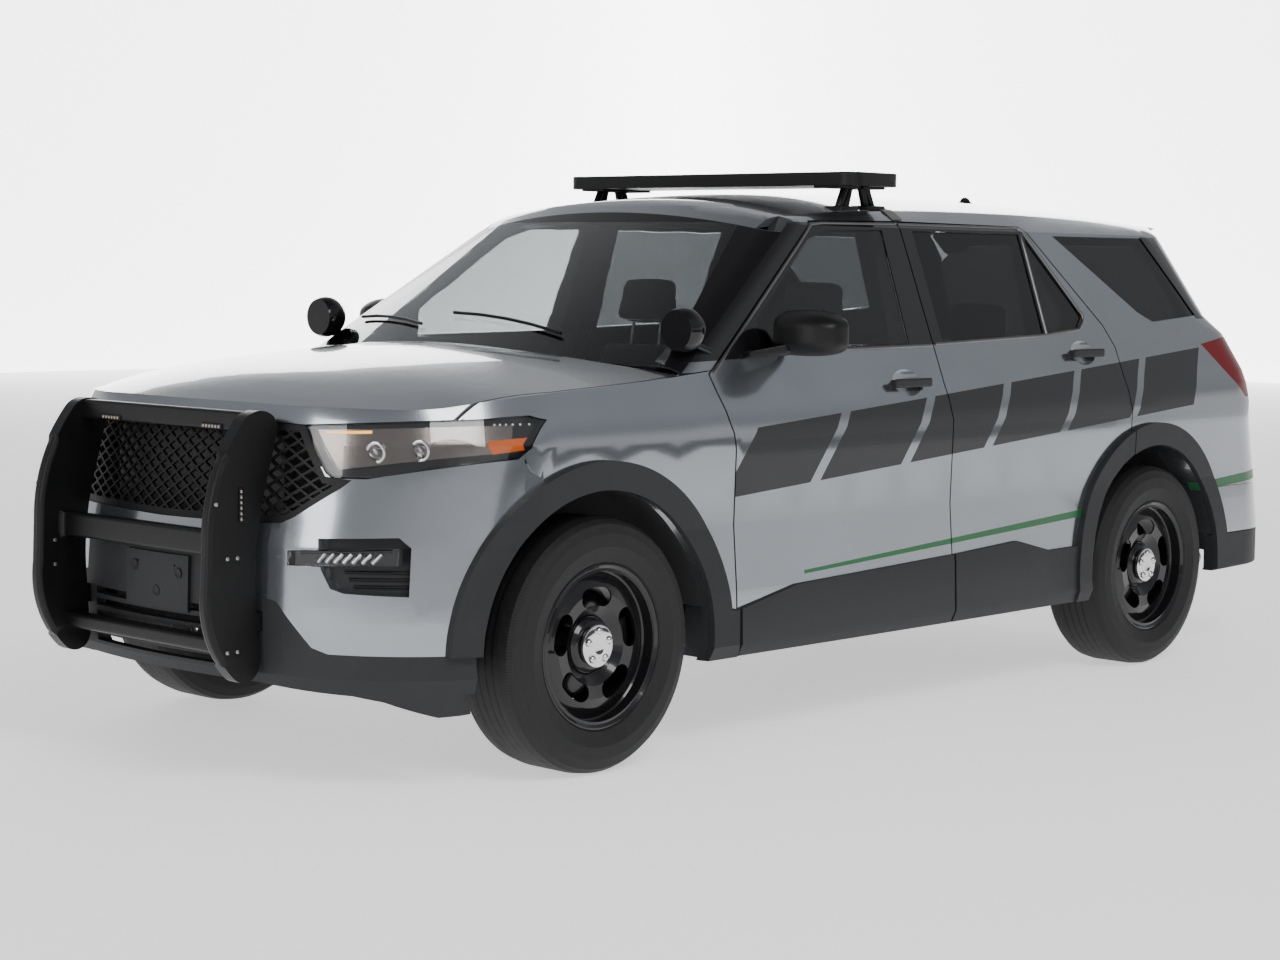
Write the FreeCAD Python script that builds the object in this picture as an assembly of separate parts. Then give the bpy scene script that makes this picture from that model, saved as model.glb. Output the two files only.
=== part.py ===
import FreeCAD, Part
import math
import os
from FreeCAD import Vector

os.makedirs("parts", exist_ok=True)

# Police-type sport utility vehicle, millimetres.
# +X forward, +Y to the left, +Z up; the origin is under the middle of the whole vehicle, on the ground.

# --- driving dimensions -------------------------------------------------------------------
WHEELBASE = 3025.0
FRONT_OVERHANG = 885.0  # nose of the body ahead of the front axle
REAR_OVERHANG = 1140.0  # rear bumper behind the rear axle
PUSH_REACH = 148.0  # push bumper ahead of the nose
BODY_WIDTH = 2004.0  # over the arch mouldings
ROOF_HEIGHT = 1770.0
TRACK = 1700.0
TYRE_RADIUS = 381.0
TYRE_WIDTH = 255.0
RIM_RADIUS = 228.6  # bead seat of an 18 inch wheel
RIM_WIDTH = 216.0
ARCH_RADIUS = 462.0  # wheel opening
SILL_Z = 288.0  # underside of doors and fenders
PANEL_GAP = 6.0
SKIN = 8.0  # door skin with its hem
DOOR_DEPTH = 108.0  # whole door below the waist
FRAME_DEPTH = 46.0  # whole door frame and pillar above the waist
FENDER_WALL = 32.0
ROOF_WALL = 30.0
GLASS = 5.0
SIDE_GLASS_INSET = 5.0
CLADDING = 12.0  # plastic standing proud of the doors
MOULDING = 22.0  # plastic standing proud of the arches
MOULDING_BAND = 86.0
SEAT_GAP = 0.3  # seat of one fixed piece in another
FLOOR_Z = 300.0
FLOOR_SHEET = 30.0
LIGHT_BAR_LENGTH = 1372.0
LIGHT_BAR_DEPTH = 284.0
LIGHT_BAR_HEIGHT = 46.0
LIGHT_BAR_TOP = 1828.0
PUSH_UPRIGHT_Y = 412.0  # middle of an upright
PUSH_PLATE = 46.0  # thickness of an upright
MIRROR_SPAN = 2260.0

HALF_WIDTH = BODY_WIDTH / 2
FRONT_AXLE = (WHEELBASE + REAR_OVERHANG - FRONT_OVERHANG - PUSH_REACH) / 2
REAR_AXLE = FRONT_AXLE - WHEELBASE
WHEEL_Y = TRACK / 2
WIDEST_X = FRONT_AXLE - 1700.0  # where the sides are fullest
SIDE_RADIUS = 80000.0  # barrel of the sides in plan


def front(x):
    """X of a place given from the front axle, forwards."""
    return FRONT_AXLE + x


def rear(x):
    """X of a place given from the rear axle, forwards."""
    return REAR_AXLE + x


# --- wires and solids -----------------------------------------------------------------------
def polygon(points):
    return Part.Wire(Part.makePolygon(points + [points[0]]))


def face_xz(points, y):
    return Part.Face(polygon([Vector(x, y, z) for x, z in points]))


def slab_y(points, y0, y1):
    """Side-view outline (x, z) extruded from y0 to y1."""
    return face_xz(points, y0).extrude(Vector(0, y1 - y0, 0))


def slab_x(points, x0, x1):
    """Front-view outline (y, z) extruded from x0 to x1."""
    outline = Part.Face(polygon([Vector(x0, y, z) for y, z in points]))
    return outline.extrude(Vector(x1 - x0, 0, 0))


def slab_z(points, z0, z1):
    """Plan outline (x, y) extruded from z0 to z1."""
    outline = Part.Face(polygon([Vector(x, y, z0) for x, y in points]))
    return outline.extrude(Vector(0, 0, z1 - z0))


def box(xa, xb, ya, yb, za, zb):
    """Box between two planes each way, given in either order."""
    low = Vector(min(xa, xb), min(ya, yb), min(za, zb))
    return Part.makeBox(abs(xb - xa), abs(yb - ya), abs(zb - za), low)


def rounded(shape, radius, chosen=None):
    """Fillet the edges that chosen accepts, or all of them."""
    edges = [e for e in shape.Edges if chosen is None or chosen(e)]
    return shape.makeFillet(radius, edges)


def cylinder_y(x, z, radius, y0, y1):
    return Part.makeCylinder(radius, y1 - y0, Vector(x, y0, z), Vector(0, 1, 0))


def rod(start, end, radius):
    a = Vector(*start)
    b = Vector(*end)
    return Part.makeCylinder(radius, (b - a).Length, a, b - a)


def tube_path(points, radius, bend):
    """Round bar along straight runs joined by tangent arcs of radius bend."""
    pts = [Vector(*p) for p in points]
    edges = []
    start = pts[0]
    for before, corner, after in zip(pts, pts[1:], pts[2:]):
        a = (before - corner).normalize()
        b = (after - corner).normalize()
        half = a.getAngle(b) / 2
        reach = bend / math.tan(half)
        p = corner + a * reach
        q = corner + b * reach
        middle = corner + (a + b).normalize() * (bend / math.sin(half) - bend)
        edges.append(Part.LineSegment(start, p).toShape())
        edges.append(Part.Arc(p, middle, q).toShape())
        start = q
    edges.append(Part.LineSegment(start, pts[-1]).toShape())
    path = Part.Wire(edges)
    ring = Part.Wire(Part.Circle(pts[0], pts[1] - pts[0], radius).toShape())
    return path.makePipeShell([ring], True, False)


def fuse(shapes):
    whole = shapes[0]
    if len(shapes) > 1:
        whole = whole.fuse(shapes[1:])
    return whole.removeSplitter()


def other_side(shape):
    return shape.mirror(Vector(0, 0, 0), Vector(0, 1, 0))


def both_sides(shapes):
    return shapes + [other_side(s) for s in shapes]


def outset(points, distance):
    """Outline moved outwards by a distance, or by one distance per edge, with mitred corners."""
    count = len(points)
    steps = distance if isinstance(distance, list) else [distance] * count
    area = sum(a[0] * b[1] - b[0] * a[1] for a, b in zip(points, points[1:] + points[:1]))
    turn = 1 if area > 0 else -1
    lines = []
    for (ax, az), (bx, bz), step in zip(points, points[1:] + points[:1], steps):
        length = math.hypot(bx - ax, bz - az)
        nx, nz = turn * (bz - az) / length, -turn * (bx - ax) / length
        lines.append((nx, nz, nx * ax + nz * az + step))
    moved = []
    for (n1x, n1z, d1), (n2x, n2z, d2), (px, pz) in zip([lines[-1]] + lines[:-1], lines, points):
        cross = n1x * n2z - n1z * n2x
        if abs(cross) < 0.02:
            step = (d1 + d2) / 2 - (n1x * px + n1z * pz)
            moved.append((px + n1x * step, pz + n1z * step))
        else:
            moved.append(((d1 * n2z - d2 * n1z) / cross, (n1x * d2 - n2x * d1) / cross))
    return moved


def arc_points(cx, cz, radius, start_deg, end_deg, steps):
    """Chords of a round stretch, for outlines that cut panels."""
    angles = [math.radians(start_deg + (end_deg - start_deg) * i / steps) for i in range(steps + 1)]
    return [(cx + radius * math.cos(a), cz + radius * math.sin(a)) for a in angles]


def solids_of(shape):
    return [s for s in shape.Solids if s.Volume > 50.0]


def export(name, shapes):
    solids = [s for shape in shapes for s in solids_of(shape)]
    assert solids, name
    whole = solids[0] if len(solids) == 1 else Part.makeCompound(solids)
    whole.exportStep("parts/" + name + ".step")
    print(name, len(solids), round(whole.Volume / 1e6, 2), len(whole.Faces), whole.isValid())


# --- body surfaces --------------------------------------------------------------------------
# Plan outlines of the cabin, one row per height; the side inset is from half the body width.
# z, side inset, front x, front radius, front corner, rear x, rear radius, rear corner
CABIN_LEVELS = [
    (SILL_Z, 34, front(-39), 1726, 140, rear(-1080), 3200, 340),
    (332, 14, front(-39), 1726, 140, rear(-1128), 3300, 350),
    (500, 20, front(-39), 1726, 140, rear(-REAR_OVERHANG), 3400, 360),
    (700, 36, front(-39), 1726, 140, rear(-1125), 3400, 360),
    (900, 30, front(-39), 1726, 140, rear(-1062), 3400, 350),
    (985, 28, front(-39), 1726, 140, rear(-1058), 3400, 350),
    (1060, 50, front(-39), 1726, 140, rear(-1054), 3400, 340),
    (1110, 72, front(-39), 1726, 140, rear(-1046), 3400, 330),
    (1256, 128, front(-286), 1695, 134, rear(-970), 3280, 340),
    (1328, 156, front(-407), 1680, 132, rear(-932), 3220, 470),
    (ROOF_HEIGHT - 130, 277, front(-934), 1614, 120, rear(-770), 3000, 510),
    (ROOF_HEIGHT - 70, 362, front(-1035), 1580, 110, rear(-744), 3000, 460),
    (ROOF_HEIGHT + 30, 504, front(-1204), 1540, 100, rear(-700), 3000, 380),
]
# The same for the nose, whose rear end lies inside the cabin.
NOSE_LEVELS = [
    (200, 60, front(825), 2200, 560, front(-760), 9000, 60),
    (SILL_Z, 34, front(868), 2200, 580, front(-760), 9000, 60),
    (332, 14, front(880), 2200, 590, front(-760), 9000, 60),
    (500, 20, front(FRONT_OVERHANG), 2200, 600, front(-760), 9000, 60),
    (700, 36, front(880), 2200, 600, front(-760), 9000, 60),
    (900, 30, front(842), 2200, 620, front(-760), 9000, 60),
    (985, 28, front(826), 2200, 640, front(-760), 9000, 60),
    (1060, 50, front(808), 2200, 640, front(-760), 9000, 60),
    (1110, 72, front(790), 2200, 640, front(-760), 9000, 60),
    (1330, 157, front(700), 2200, 640, front(-760), 9000, 60),
]
# Crown of the roof and of the hood: x, z in the middle, z at the half width given with the table.
CROWN_REACH = 1080.0  # the crowned surfaces run out to here before they are trimmed
ROOF_CROWN_HALF = 720.0
ROOF_CROWN = [
    (front(100), ROOF_HEIGHT - 238, ROOF_HEIGHT - 330),
    (front(-700), ROOF_HEIGHT - 110, ROOF_HEIGHT - 200),
    (front(-1063), ROOF_HEIGHT - 52, ROOF_HEIGHT - 128),
    (front(-1500), ROOF_HEIGHT - 14, ROOF_HEIGHT - 96),
    (front(-2050), ROOF_HEIGHT, ROOF_HEIGHT - 86),
    (rear(-195), ROOF_HEIGHT - 18, ROOF_HEIGHT - 106),
    (rear(-875), ROOF_HEIGHT - 68, ROOF_HEIGHT - 146),
    (rear(-REAR_OVERHANG - 40), ROOF_HEIGHT - 100, ROOF_HEIGHT - 176),
]
HOOD_CROWN_HALF = 900.0
HOOD_CROWN = [
    (front(940), 1000, 900),
    (front(800), 1092, 1000),
    (front(654), 1150, 1030),
    (front(412), 1193, 1092),
    (front(149), 1222, 1130),
    (front(-300), 1250, 1156),
    (front(-790), 1270, 1180),
]


def circle_arc(centre, radius, p, q, z):
    """Arc about centre from p to q, the short way round."""
    a = math.atan2(p[1] - centre[1], p[0] - centre[0])
    b = math.atan2(q[1] - centre[1], q[0] - centre[0])
    sweep = (b - a + math.pi) % (2 * math.pi) - math.pi
    mid = (centre[0] + radius * math.cos(a + sweep / 2), centre[1] + radius * math.sin(a + sweep / 2))
    return Part.Arc(Vector(*p, z), Vector(*mid, z), Vector(*q, z)).toShape()


def crossing(c1, r1, c2, r2, forward):
    """The point on the left at r1 from c1 and r2 from c2, ahead of or behind c2."""
    dx = c2[0] - c1[0]
    dy = c2[1] - c1[1]
    span = math.hypot(dx, dy)
    along = (r1 * r1 - r2 * r2 + span * span) / (2 * span)
    across = math.sqrt(max(r1 * r1 - along * along, 0.0))
    foot = (c1[0] + along * dx / span, c1[1] + along * dy / span)
    ends = [(foot[0] + s * across * dy / span, foot[1] - s * across * dx / span) for s in (1, -1)]
    ends = [p for p in ends if p[1] > 0]
    return max(ends) if forward else min(ends)


def towards(centre, through, radius):
    span = math.hypot(through[0] - centre[0], through[1] - centre[1])
    share = radius / span
    return (centre[0] + (through[0] - centre[0]) * share, centre[1] + (through[1] - centre[1]) * share)


TIGHTEST_CORNER = 15.0


def plan_ring(level, inset):
    """Closed plan outline: nose arc, corners, barrelled sides and tail arc, moved inwards by inset."""
    z, side, front_x, front_r, front_c, rear_x, rear_r, rear_c = level
    half = HALF_WIDTH - side - inset
    front_r, rear_r = front_r - inset, rear_r - inset
    front_c, rear_c = max(front_c - inset, TIGHTEST_CORNER), max(rear_c - inset, TIGHTEST_CORNER)
    side_r = SIDE_RADIUS - inset
    nose = (front_x - inset - front_r, 0.0)
    tail = (rear_x + inset + rear_r, 0.0)
    flank = (WIDEST_X, half - side_r)
    fore = crossing(nose, front_r - front_c, flank, side_r - front_c, True)
    aft = crossing(tail, rear_r - rear_c, flank, side_r - rear_c, False)
    mirror = lambda p: (p[0], -p[1])
    a = towards(nose, fore, front_r)
    b = towards(flank, fore, side_r)
    c = towards(flank, aft, side_r)
    d = towards(tail, aft, rear_r)
    flank_right = mirror(flank)
    edges = [
        circle_arc(nose, front_r, mirror(a), a, z),
        circle_arc(fore, front_c, a, b, z),
        circle_arc(flank, side_r, b, c, z),
        circle_arc(aft, rear_c, c, d, z),
        circle_arc(tail, rear_r, d, mirror(d), z),
        circle_arc(mirror(aft), rear_c, mirror(d), mirror(c), z),
        circle_arc(flank_right, side_r, mirror(c), mirror(b), z),
        circle_arc(mirror(fore), front_c, mirror(b), mirror(a), z),
    ]
    return Part.Wire(edges)


def hull(levels, inset):
    """Solid through the plan outlines; inset is a number or a function of the height."""
    depth = inset if callable(inset) else (lambda z: inset)
    return Part.makeLoft([plan_ring(level, depth(level[0])) for level in levels], True, True)


def crown(stations, half, drop):
    """Everything under a crowned surface, lowered by drop; the arcs run on past the body's sides."""
    sections = []
    for x, middle, edge in stations:
        fall = middle - edge
        radius = (half * half + fall * fall) / (2 * fall)
        end = middle - radius + math.sqrt(radius * radius - CROWN_REACH * CROWN_REACH) - drop
        left = Vector(x, CROWN_REACH, end)
        right = Vector(x, -CROWN_REACH, end)
        top = Part.Arc(left, Vector(x, 0, middle - drop), right).toShape()
        feet = [Vector(x, -CROWN_REACH, 0), Vector(x, CROWN_REACH, 0)]
        rim = Part.makePolygon([right, feet[0], feet[1], left]).Edges
        sections.append(Part.Wire([top] + rim))
    return Part.makeLoft(sections, True, False)


def cabin_depth(z):
    """Depth of doors and pillars at a height: the whole door to the waist, thinning up to the rail."""
    waist = 1060.0
    share = min(max((z - waist) / (ROOF_HEIGHT - 130 - waist), 0.0), 1.0)
    return DOOR_DEPTH + (FRAME_DEPTH - DOOR_DEPTH) * share


cabin_top = crown(ROOF_CROWN, ROOF_CROWN_HALF, 0)
cabin = hull(CABIN_LEVELS, 0).common(cabin_top)
cavity = hull(CABIN_LEVELS, cabin_depth).common(crown(ROOF_CROWN, ROOF_CROWN_HALF, FRAME_DEPTH))
cabin_wall = cabin.cut(cavity)
nose = hull(NOSE_LEVELS, 0).common(crown(HOOD_CROWN, HOOD_CROWN_HALF, 0))
bay = hull(NOSE_LEVELS, FENDER_WALL).common(crown(HOOD_CROWN, HOOD_CROWN_HALF, FENDER_WALL))
nose_wall = nose.cut(bay)


def cabin_layer(outer, inner, region):
    """Sheet between two depths below the cabin's surface, inside a region."""
    return hull(CABIN_LEVELS, outer).common(region).cut(hull(CABIN_LEVELS, inner))


def nose_layer(outer, inner, region):
    return hull(NOSE_LEVELS, outer).common(region).cut(hull(NOSE_LEVELS, inner))


# --- doors ----------------------------------------------------------------------------------
SILL_TOP = 425.0
SHUT_DEPTH = SKIN + 6.0  # the shut flanges lie this deep
DOOR_FOOT = SILL_Z + 2.0
B_CUT = front(-1712)
ARCH_CUT = ARCH_RADIUS + 4.0
REAR_CUT = rear(165)
arch_top = math.degrees(math.acos((REAR_CUT - REAR_AXLE) / ARCH_CUT))
arch_foot = math.degrees(math.asin((DOOR_FOOT - TYRE_RADIUS) / ARCH_CUT))
ARCH_CHORDS = 8
RAIL_Z = ROOF_HEIGHT - 112.0  # top edge of the doors

# Outlines at the skin (x, z); then, edge by edge, how far the deep part of the door stays inside
# the outline, how far the fixed shut flange reaches behind the skin, and how far it reaches outwards.
FRONT_DOOR = [
    (front(-592), DOOR_FOOT),
    (front(-590), 940),
    (front(-562), 1053),
    (front(-531), 1166),
    (front(-1237), RAIL_Z - 8),
    (B_CUT + PANEL_GAP / 2, RAIL_Z),
    (B_CUT + PANEL_GAP / 2, DOOR_FOOT),
]
REAR_DOOR = [
    (B_CUT - PANEL_GAP / 2, DOOR_FOOT),
    (B_CUT - PANEL_GAP / 2, RAIL_Z),
    (rear(557), RAIL_Z - 4),
    (rear(208), 1295),
    (REAR_CUT, 1213),
    (REAR_CUT, 1000),
] + arc_points(REAR_AXLE, TYRE_RADIUS, ARCH_CUT, arch_top, arch_foot, ARCH_CHORDS)
DEEP = {
    "front": [32, 32, 32, 16, 12, 44, 20],
    "rear": [32, 12, 44, 44, 40, 40] + [36] * ARCH_CHORDS + [20],
}
SHUT = {
    "front": [20, 20, 20, 8, 4, 20, 0],
    "rear": [20, 4, 16, 16, 16, 16] + [20] * ARCH_CHORDS + [0],
}
REACH = {
    "front": [5, 5, 5, 12, 12, 3, 0],
    "rear": [3, 12, 12, 12, 12, 8] + [0] * ARCH_CHORDS + [0],
}
FRONT_GLASS = [
    (front(-798), 1236),
    (front(-822), 1332),
    (front(-1190), RAIL_Z - 66),
    (front(-1300), RAIL_Z - 34),
    (front(-1606), RAIL_Z - 28),
    (front(-1578), 1246),
]
REAR_GLASS = [
    (front(-1772), 1252),
    (front(-1778), RAIL_Z - 28),
    (rear(595), RAIL_Z - 28),
    (rear(618), 1272),
]
CORNER_GLASS = [
    (rear(586), 1274),
    (rear(563), RAIL_Z - 40),
    (rear(335), 1332),
    (rear(385), 1290),
]
FRONT_CLADDING = [
    (front(-602), DOOR_FOOT),
    (front(-602), 440),
    (front(-874), 495),
    (B_CUT + PANEL_GAP / 2, 525),
    (B_CUT + PANEL_GAP / 2, DOOR_FOOT),
]
REAR_CLADDING = [
    (B_CUT - PANEL_GAP / 2 - 5, DOOR_FOOT),
    (B_CUT - PANEL_GAP / 2 - 5, 525),
    (front(-2096), 544),
    (front(-2297), 496),
    (rear(420), 498),
] + arc_points(REAR_AXLE, TYRE_RADIUS, ARCH_RADIUS, 14, arch_foot, 3)
SIDE_Y0, SIDE_Y1 = 560.0, 1100.0
flank = box(front(-2960), front(-480), SIDE_Y0, SIDE_Y1, 250, ROOF_HEIGHT)
flank_wall = cabin_wall.common(flank)
flank_skin = cabin_layer(0, SKIN, flank)
flank_thin = cabin_layer(0, FRAME_DEPTH, flank)
flank_shut = hull(CABIN_LEVELS, SHUT_DEPTH).common(flank).cut(cavity)
glass_sheet = cabin_layer(SIDE_GLASS_INSET, SIDE_GLASS_INSET + GLASS, flank)
cladding_zone = box(front(-2960), front(-480), SIDE_Y0, SIDE_Y1, 250, 620)
cladding_sheet = cabin_layer(-CLADDING, -SEAT_GAP, cladding_zone)


def side_cut(outline):
    return slab_y(outline, SIDE_Y0, SIDE_Y1)


def door_shell(name, outline, windows):
    """Skin with its hem, the deep part inside it above the sill, and a thin skirt over the sill."""
    inner = side_cut(outset(outline, [-d for d in DEEP[name]]))
    deep = flank_wall.common(inner).common(box(-5000, 5000, 0, 2000, SILL_TOP + PANEL_GAP, 2000))
    skirt = flank_thin.common(side_cut(outset(outline, [-d for d in DEEP[name][:-1]] + [-SKIN])))
    skirt = skirt.common(box(-5000, 5000, 0, 2000, 0, SILL_TOP + PANEL_GAP + 2))
    door = fuse([flank_skin.common(side_cut(outline)), deep, skirt])
    return door.cut([side_cut(w) for w in windows])


def shut_flange(name, outline):
    """Fixed edge of the door opening, behind the door's skin."""
    outer = side_cut(outset(outline, REACH[name]))
    inner = side_cut(outset(outline, [-d for d in SHUT[name]]))
    return flank_shut.common(outer.cut(inner))


BUFFER_R = 6.0


def buffer_y(x, z):
    """Rubber stop between a shut flange and the skin of the closed door."""
    stop = cylinder_y(x, z, BUFFER_R, 700, 1100)
    return stop.common(hull(CABIN_LEVELS, SKIN + SEAT_GAP)).cut(hull(CABIN_LEVELS, SHUT_DEPTH + 2))


def panes(windows):
    return [glass_sheet.common(side_cut(outset(w, -SEAT_GAP))) for w in windows]


front_door = door_shell("front", FRONT_DOOR, [FRONT_GLASS])
rear_door = door_shell("rear", REAR_DOOR, [REAR_GLASS, CORNER_GLASS])


# --- side structure, roof and windscreen ----------------------------------------------------
# Pillar line of the windscreen in side view: everything ahead of it is glass.
SCREEN_SLOPE = 1.5
SCREEN_FOOT = (front(-418), 1172.0)


def screen_region(step):
    """Side-view region ahead of the pillar line, moved forwards by step."""
    low = 900.0
    high = ROOF_HEIGHT + 40
    x, z = SCREEN_FOOT
    foot = x + step + (z - low) * SCREEN_SLOPE
    head = x + step - (high - z) * SCREEN_SLOPE
    return slab_y([(foot, low), (head, high), (front(400), high), (front(400), low)], -1100, 1100)


ROOF_EDGE = [
    (front(100), 640),
    (front(-1100), 640),
    (front(-1700), 624),
    (rear(-100), 596),
    (rear(-612), 566),
]
LIFTGATE_LINE = rear(-615)


def roof_region(step):
    left = [(x, y + step) for x, y in ROOF_EDGE]
    return slab_z(left + [(x, -y) for x, y in reversed(left)], 1500, 1900)


QUARTER_GLASS = [
    (rear(372), RAIL_Z - 30),
    (rear(-266), RAIL_Z - 28),
    (rear(-515), 1330),
    (rear(-165), 1306),
    (rear(-70), 1345),
]
LIFTGATE_HALF = [(590, 664), (640, 900), (704, 1000), (712, 1240), (768, 1266), (596, 1668), (596, 1900)]
LIFTGATE_SIDE = [
    (LIFTGATE_LINE, 1900),
    (LIFTGATE_LINE, ROOF_HEIGHT - 128),
    (rear(-700), ROOF_HEIGHT - 210),
    (rear(-700), 500),
    (rear(-1400), 500),
    (rear(-1400), 1900),
]


def liftgate_region(step):
    half = outset([(0, 664)] + LIFTGATE_HALF + [(0, 1900)], step)
    outline = half[1:-1] + [(-y, z) for y, z in reversed(half[1:-1])]
    across = slab_x(outline, rear(-1400), rear(-500))
    return across.common(slab_y(outset(LIFTGATE_SIDE, step), -1100, 1100))


TAIL_LAMP = [
    (rear(-484), 1217),
    (rear(-668), 1240),
    (rear(-1400), 1250),
    (rear(-1400), 1004),
    (rear(-735), 1004),
    (rear(-590), 1130),
]
BUMPER_TOP = 652.0
BUMPER_FOOT = 468.0
REAR_BUMPER = [
    (rear(-440), BUMPER_FOOT),
    (rear(-1400), BUMPER_FOOT),
    (rear(-1400), BUMPER_TOP),
    (rear(-520), BUMPER_TOP),
    (rear(-440), BUMPER_TOP - 30),
]

arch_hole = cylinder_y(REAR_AXLE, TYRE_RADIUS, ARCH_CUT, SIDE_Y0, SIDE_Y1)
roof_seat = cabin.cut(crown(ROOF_CROWN, ROOF_CROWN_HALF, ROOF_WALL + SEAT_GAP)).common(roof_region(3.0))
left_side = cabin_wall.common(box(rear(-1400), front(-200), SIDE_Y0, 1100, SILL_Z, 1900))
side_cuts = [
    side_cut(outset(FRONT_DOOR, PANEL_GAP)),
    side_cut(outset(REAR_DOOR, PANEL_GAP)),
    side_cut(QUARTER_GLASS),
    arch_hole,
    screen_region(-SEAT_GAP),
    liftgate_region(PANEL_GAP),
    slab_y(outset(TAIL_LAMP, SEAT_GAP), 500, 1100),
    slab_y(outset(REAR_BUMPER, 2.0), 500, 1100),
    box(rear(-1400), rear(-440), 0, 1100, 0, BUMPER_FOOT),
    roof_seat,
    hull(NOSE_LEVELS, -3.0).common(crown(HOOD_CROWN, HOOD_CROWN_HALF, -3)).common(
        box(front(-589), front(500), 0, 1100, 0, 1400)
    ),
]
side_frame = left_side.cut(side_cuts)
SILL_DEPTH = 150.0
LINER = 8.0  # sheet of the wheelhouses
sill_end = REAR_AXLE + ARCH_CUT + LINER + SEAT_GAP
sill_zone = box(front(-588), sill_end, 500, 1100, SILL_Z + 6, SILL_TOP)
sill = cabin_layer(FRAME_DEPTH + 8, SILL_DEPTH, sill_zone)
hinge_zone = box(front(-588), front(-470), 500, 1100, SILL_Z + 6, 1180)
hinge_pillar = hull(CABIN_LEVELS, FENDER_WALL + 4).common(hinge_zone).cut(cavity)
hinge_pillar = hinge_pillar.common(crown(HOOD_CROWN, HOOD_CROWN_HALF, FENDER_WALL + 6))
hinge_pillar = hinge_pillar.cut(side_cut(outset(FRONT_DOOR, PANEL_GAP)))
flanges = [shut_flange("front", FRONT_DOOR), shut_flange("rear", REAR_DOOR)]
buffers = [
    buffer_y(B_CUT + PANEL_GAP / 2 + 11, 760),
    buffer_y(B_CUT + PANEL_GAP / 2 + 11, 1020),
    buffer_y(REAR_CUT + 8, 1060),
    buffer_y(REAR_CUT + 8, 1130),
]
# Pads for a jack under the sills: middle (x, y) on the left, length, width and lower face.
JACK_PADS = [(front(-720), 868.0), (rear(720), 868.0)]
JACK_PAD = (80.0, 40.0)
JACK_PAD_Z = 276.0
jack_pads = [
    box(x - JACK_PAD[0] / 2, x + JACK_PAD[0] / 2, y - JACK_PAD[1] / 2, y + JACK_PAD[1] / 2, JACK_PAD_Z,
        SILL_Z + 16)
    for x, y in JACK_PADS
]
body_side = fuse([side_frame, sill, hinge_pillar] + flanges + buffers + jack_pads)
body_side = body_side.cut([arch_hole, side_cut(QUARTER_GLASS), roof_seat, screen_region(-SEAT_GAP)])

roof_panel = cabin.cut(crown(ROOF_CROWN, ROOF_CROWN_HALF, ROOF_WALL)).common(roof_region(0))
roof_panel = roof_panel.common(box(LIFTGATE_LINE + PANEL_GAP, front(200), -1000, 1000, 1400, 1900))

SCREEN_GLASS = 6.0
screen_zone = screen_region(0).common(crown(ROOF_CROWN, ROOF_CROWN_HALF, ROOF_WALL + SEAT_GAP))
windshield = cabin_layer(0, SCREEN_GLASS, screen_zone)
COWL_DROP = 12.0
COWL_SHEET = 10.0
windshield = windshield.cut(crown(HOOD_CROWN, HOOD_CROWN_HALF, COWL_DROP - SEAT_GAP))

quarter_zone = slab_y(outset(QUARTER_GLASS, -SEAT_GAP), 500, 1000)
quarter_window = cabin_layer(SIDE_GLASS_INSET, SIDE_GLASS_INSET + GLASS, quarter_zone)

# --- hood, cowl, fenders --------------------------------------------------------------------
# Plan outline of the hood: left front, side, and the curved rear edge to the middle.
HOOD_LEFT = [
    (front(1000), 840),
    (front(481), 836),
    (front(412), 848),
    (front(149), 893),
    (front(-250), 892),
    (front(-400), 884),
    (front(-290), 640),
    (front(-206), 360),
    (front(-176), 0),
]
# Lower edge of the hood's front lip in front view, over grille and lamps.
LIP_HALF = [(0, 1066), (504, 1040), (867, 1062), (1100, 1062)]
HOOD_GAP = PANEL_GAP / 2


def hood_plan(step):
    closed = outset(HOOD_LEFT + [(front(1000), 0)], step)
    left = closed[:-2]
    right = [(x, -y) for x, y in reversed(left)]
    tip = [(closed[-2][0], 0)]
    return slab_z(left + tip + right, 0, 1500)


def below_lip(step):
    half = [(y, z + step) for y, z in LIP_HALF]
    outline = half + [(1100, 0), (-1100, 0)] + [(-y, z) for y, z in reversed(half[1:])]
    return slab_x(outline, front(300), front(1200))


hood = nose_wall.common(hood_plan(-HOOD_GAP)).cut(below_lip(0))
hood = hood.common(box(front(-500), front(1200), -1100, 1100, 900, 1500))

cowl_band = crown(HOOD_CROWN, HOOD_CROWN_HALF, COWL_DROP).cut(
    crown(HOOD_CROWN, HOOD_CROWN_HALF, COWL_DROP + COWL_SHEET)
)
cowl_plan = box(front(-700), front(-150), -880, 880, 0, 1500)
cowl = cowl_band.common(cowl_plan).cut([hood_plan(HOOD_GAP), hull(CABIN_LEVELS, -SEAT_GAP)])

# Fronts of bumper and fender in side view, and the openings of the front in front view (y, z).
BUMPER_SIDE = [
    (front(300), 965),
    (front(300), 950),
    (front(281), 912),
    (front(247), 892),
    (front(225), 862),
    (front(185), 800),
    (front(185), 100),
    (front(1100), 100),
    (front(1100), 925),
    (front(700), 925),
    (front(480), 965),
]
HEADLAMP = [
    (509, 1037),
    (867, 1059),
    (914, 1067),
    (927, 1055),
    (940, 981),
    (931, 948),
    (702, 896),
    (616, 895),
    (596, 910),
]
GRILLE_HALF = [
    (0, 752),
    (410, 758),
    (486, 764),
    (526, 783),
    (642, 867),
    (665, 890),
    (596, 898),
    (504, 1037),
    (0, 1063),
]
FOG_RECESS = [(603, 726), (787, 733), (812, 704), (815, 568), (677, 575), (643, 587), (616, 640)]
FOG_LAMP = [(516, 646), (790, 650), (790, 704), (549, 691), (516, 688)]
BUMPER_LOWER = [(0, 718), (396, 718), (412, 556), (483, 540), (594, 418), (640, 402), (1100, 398)]
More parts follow.
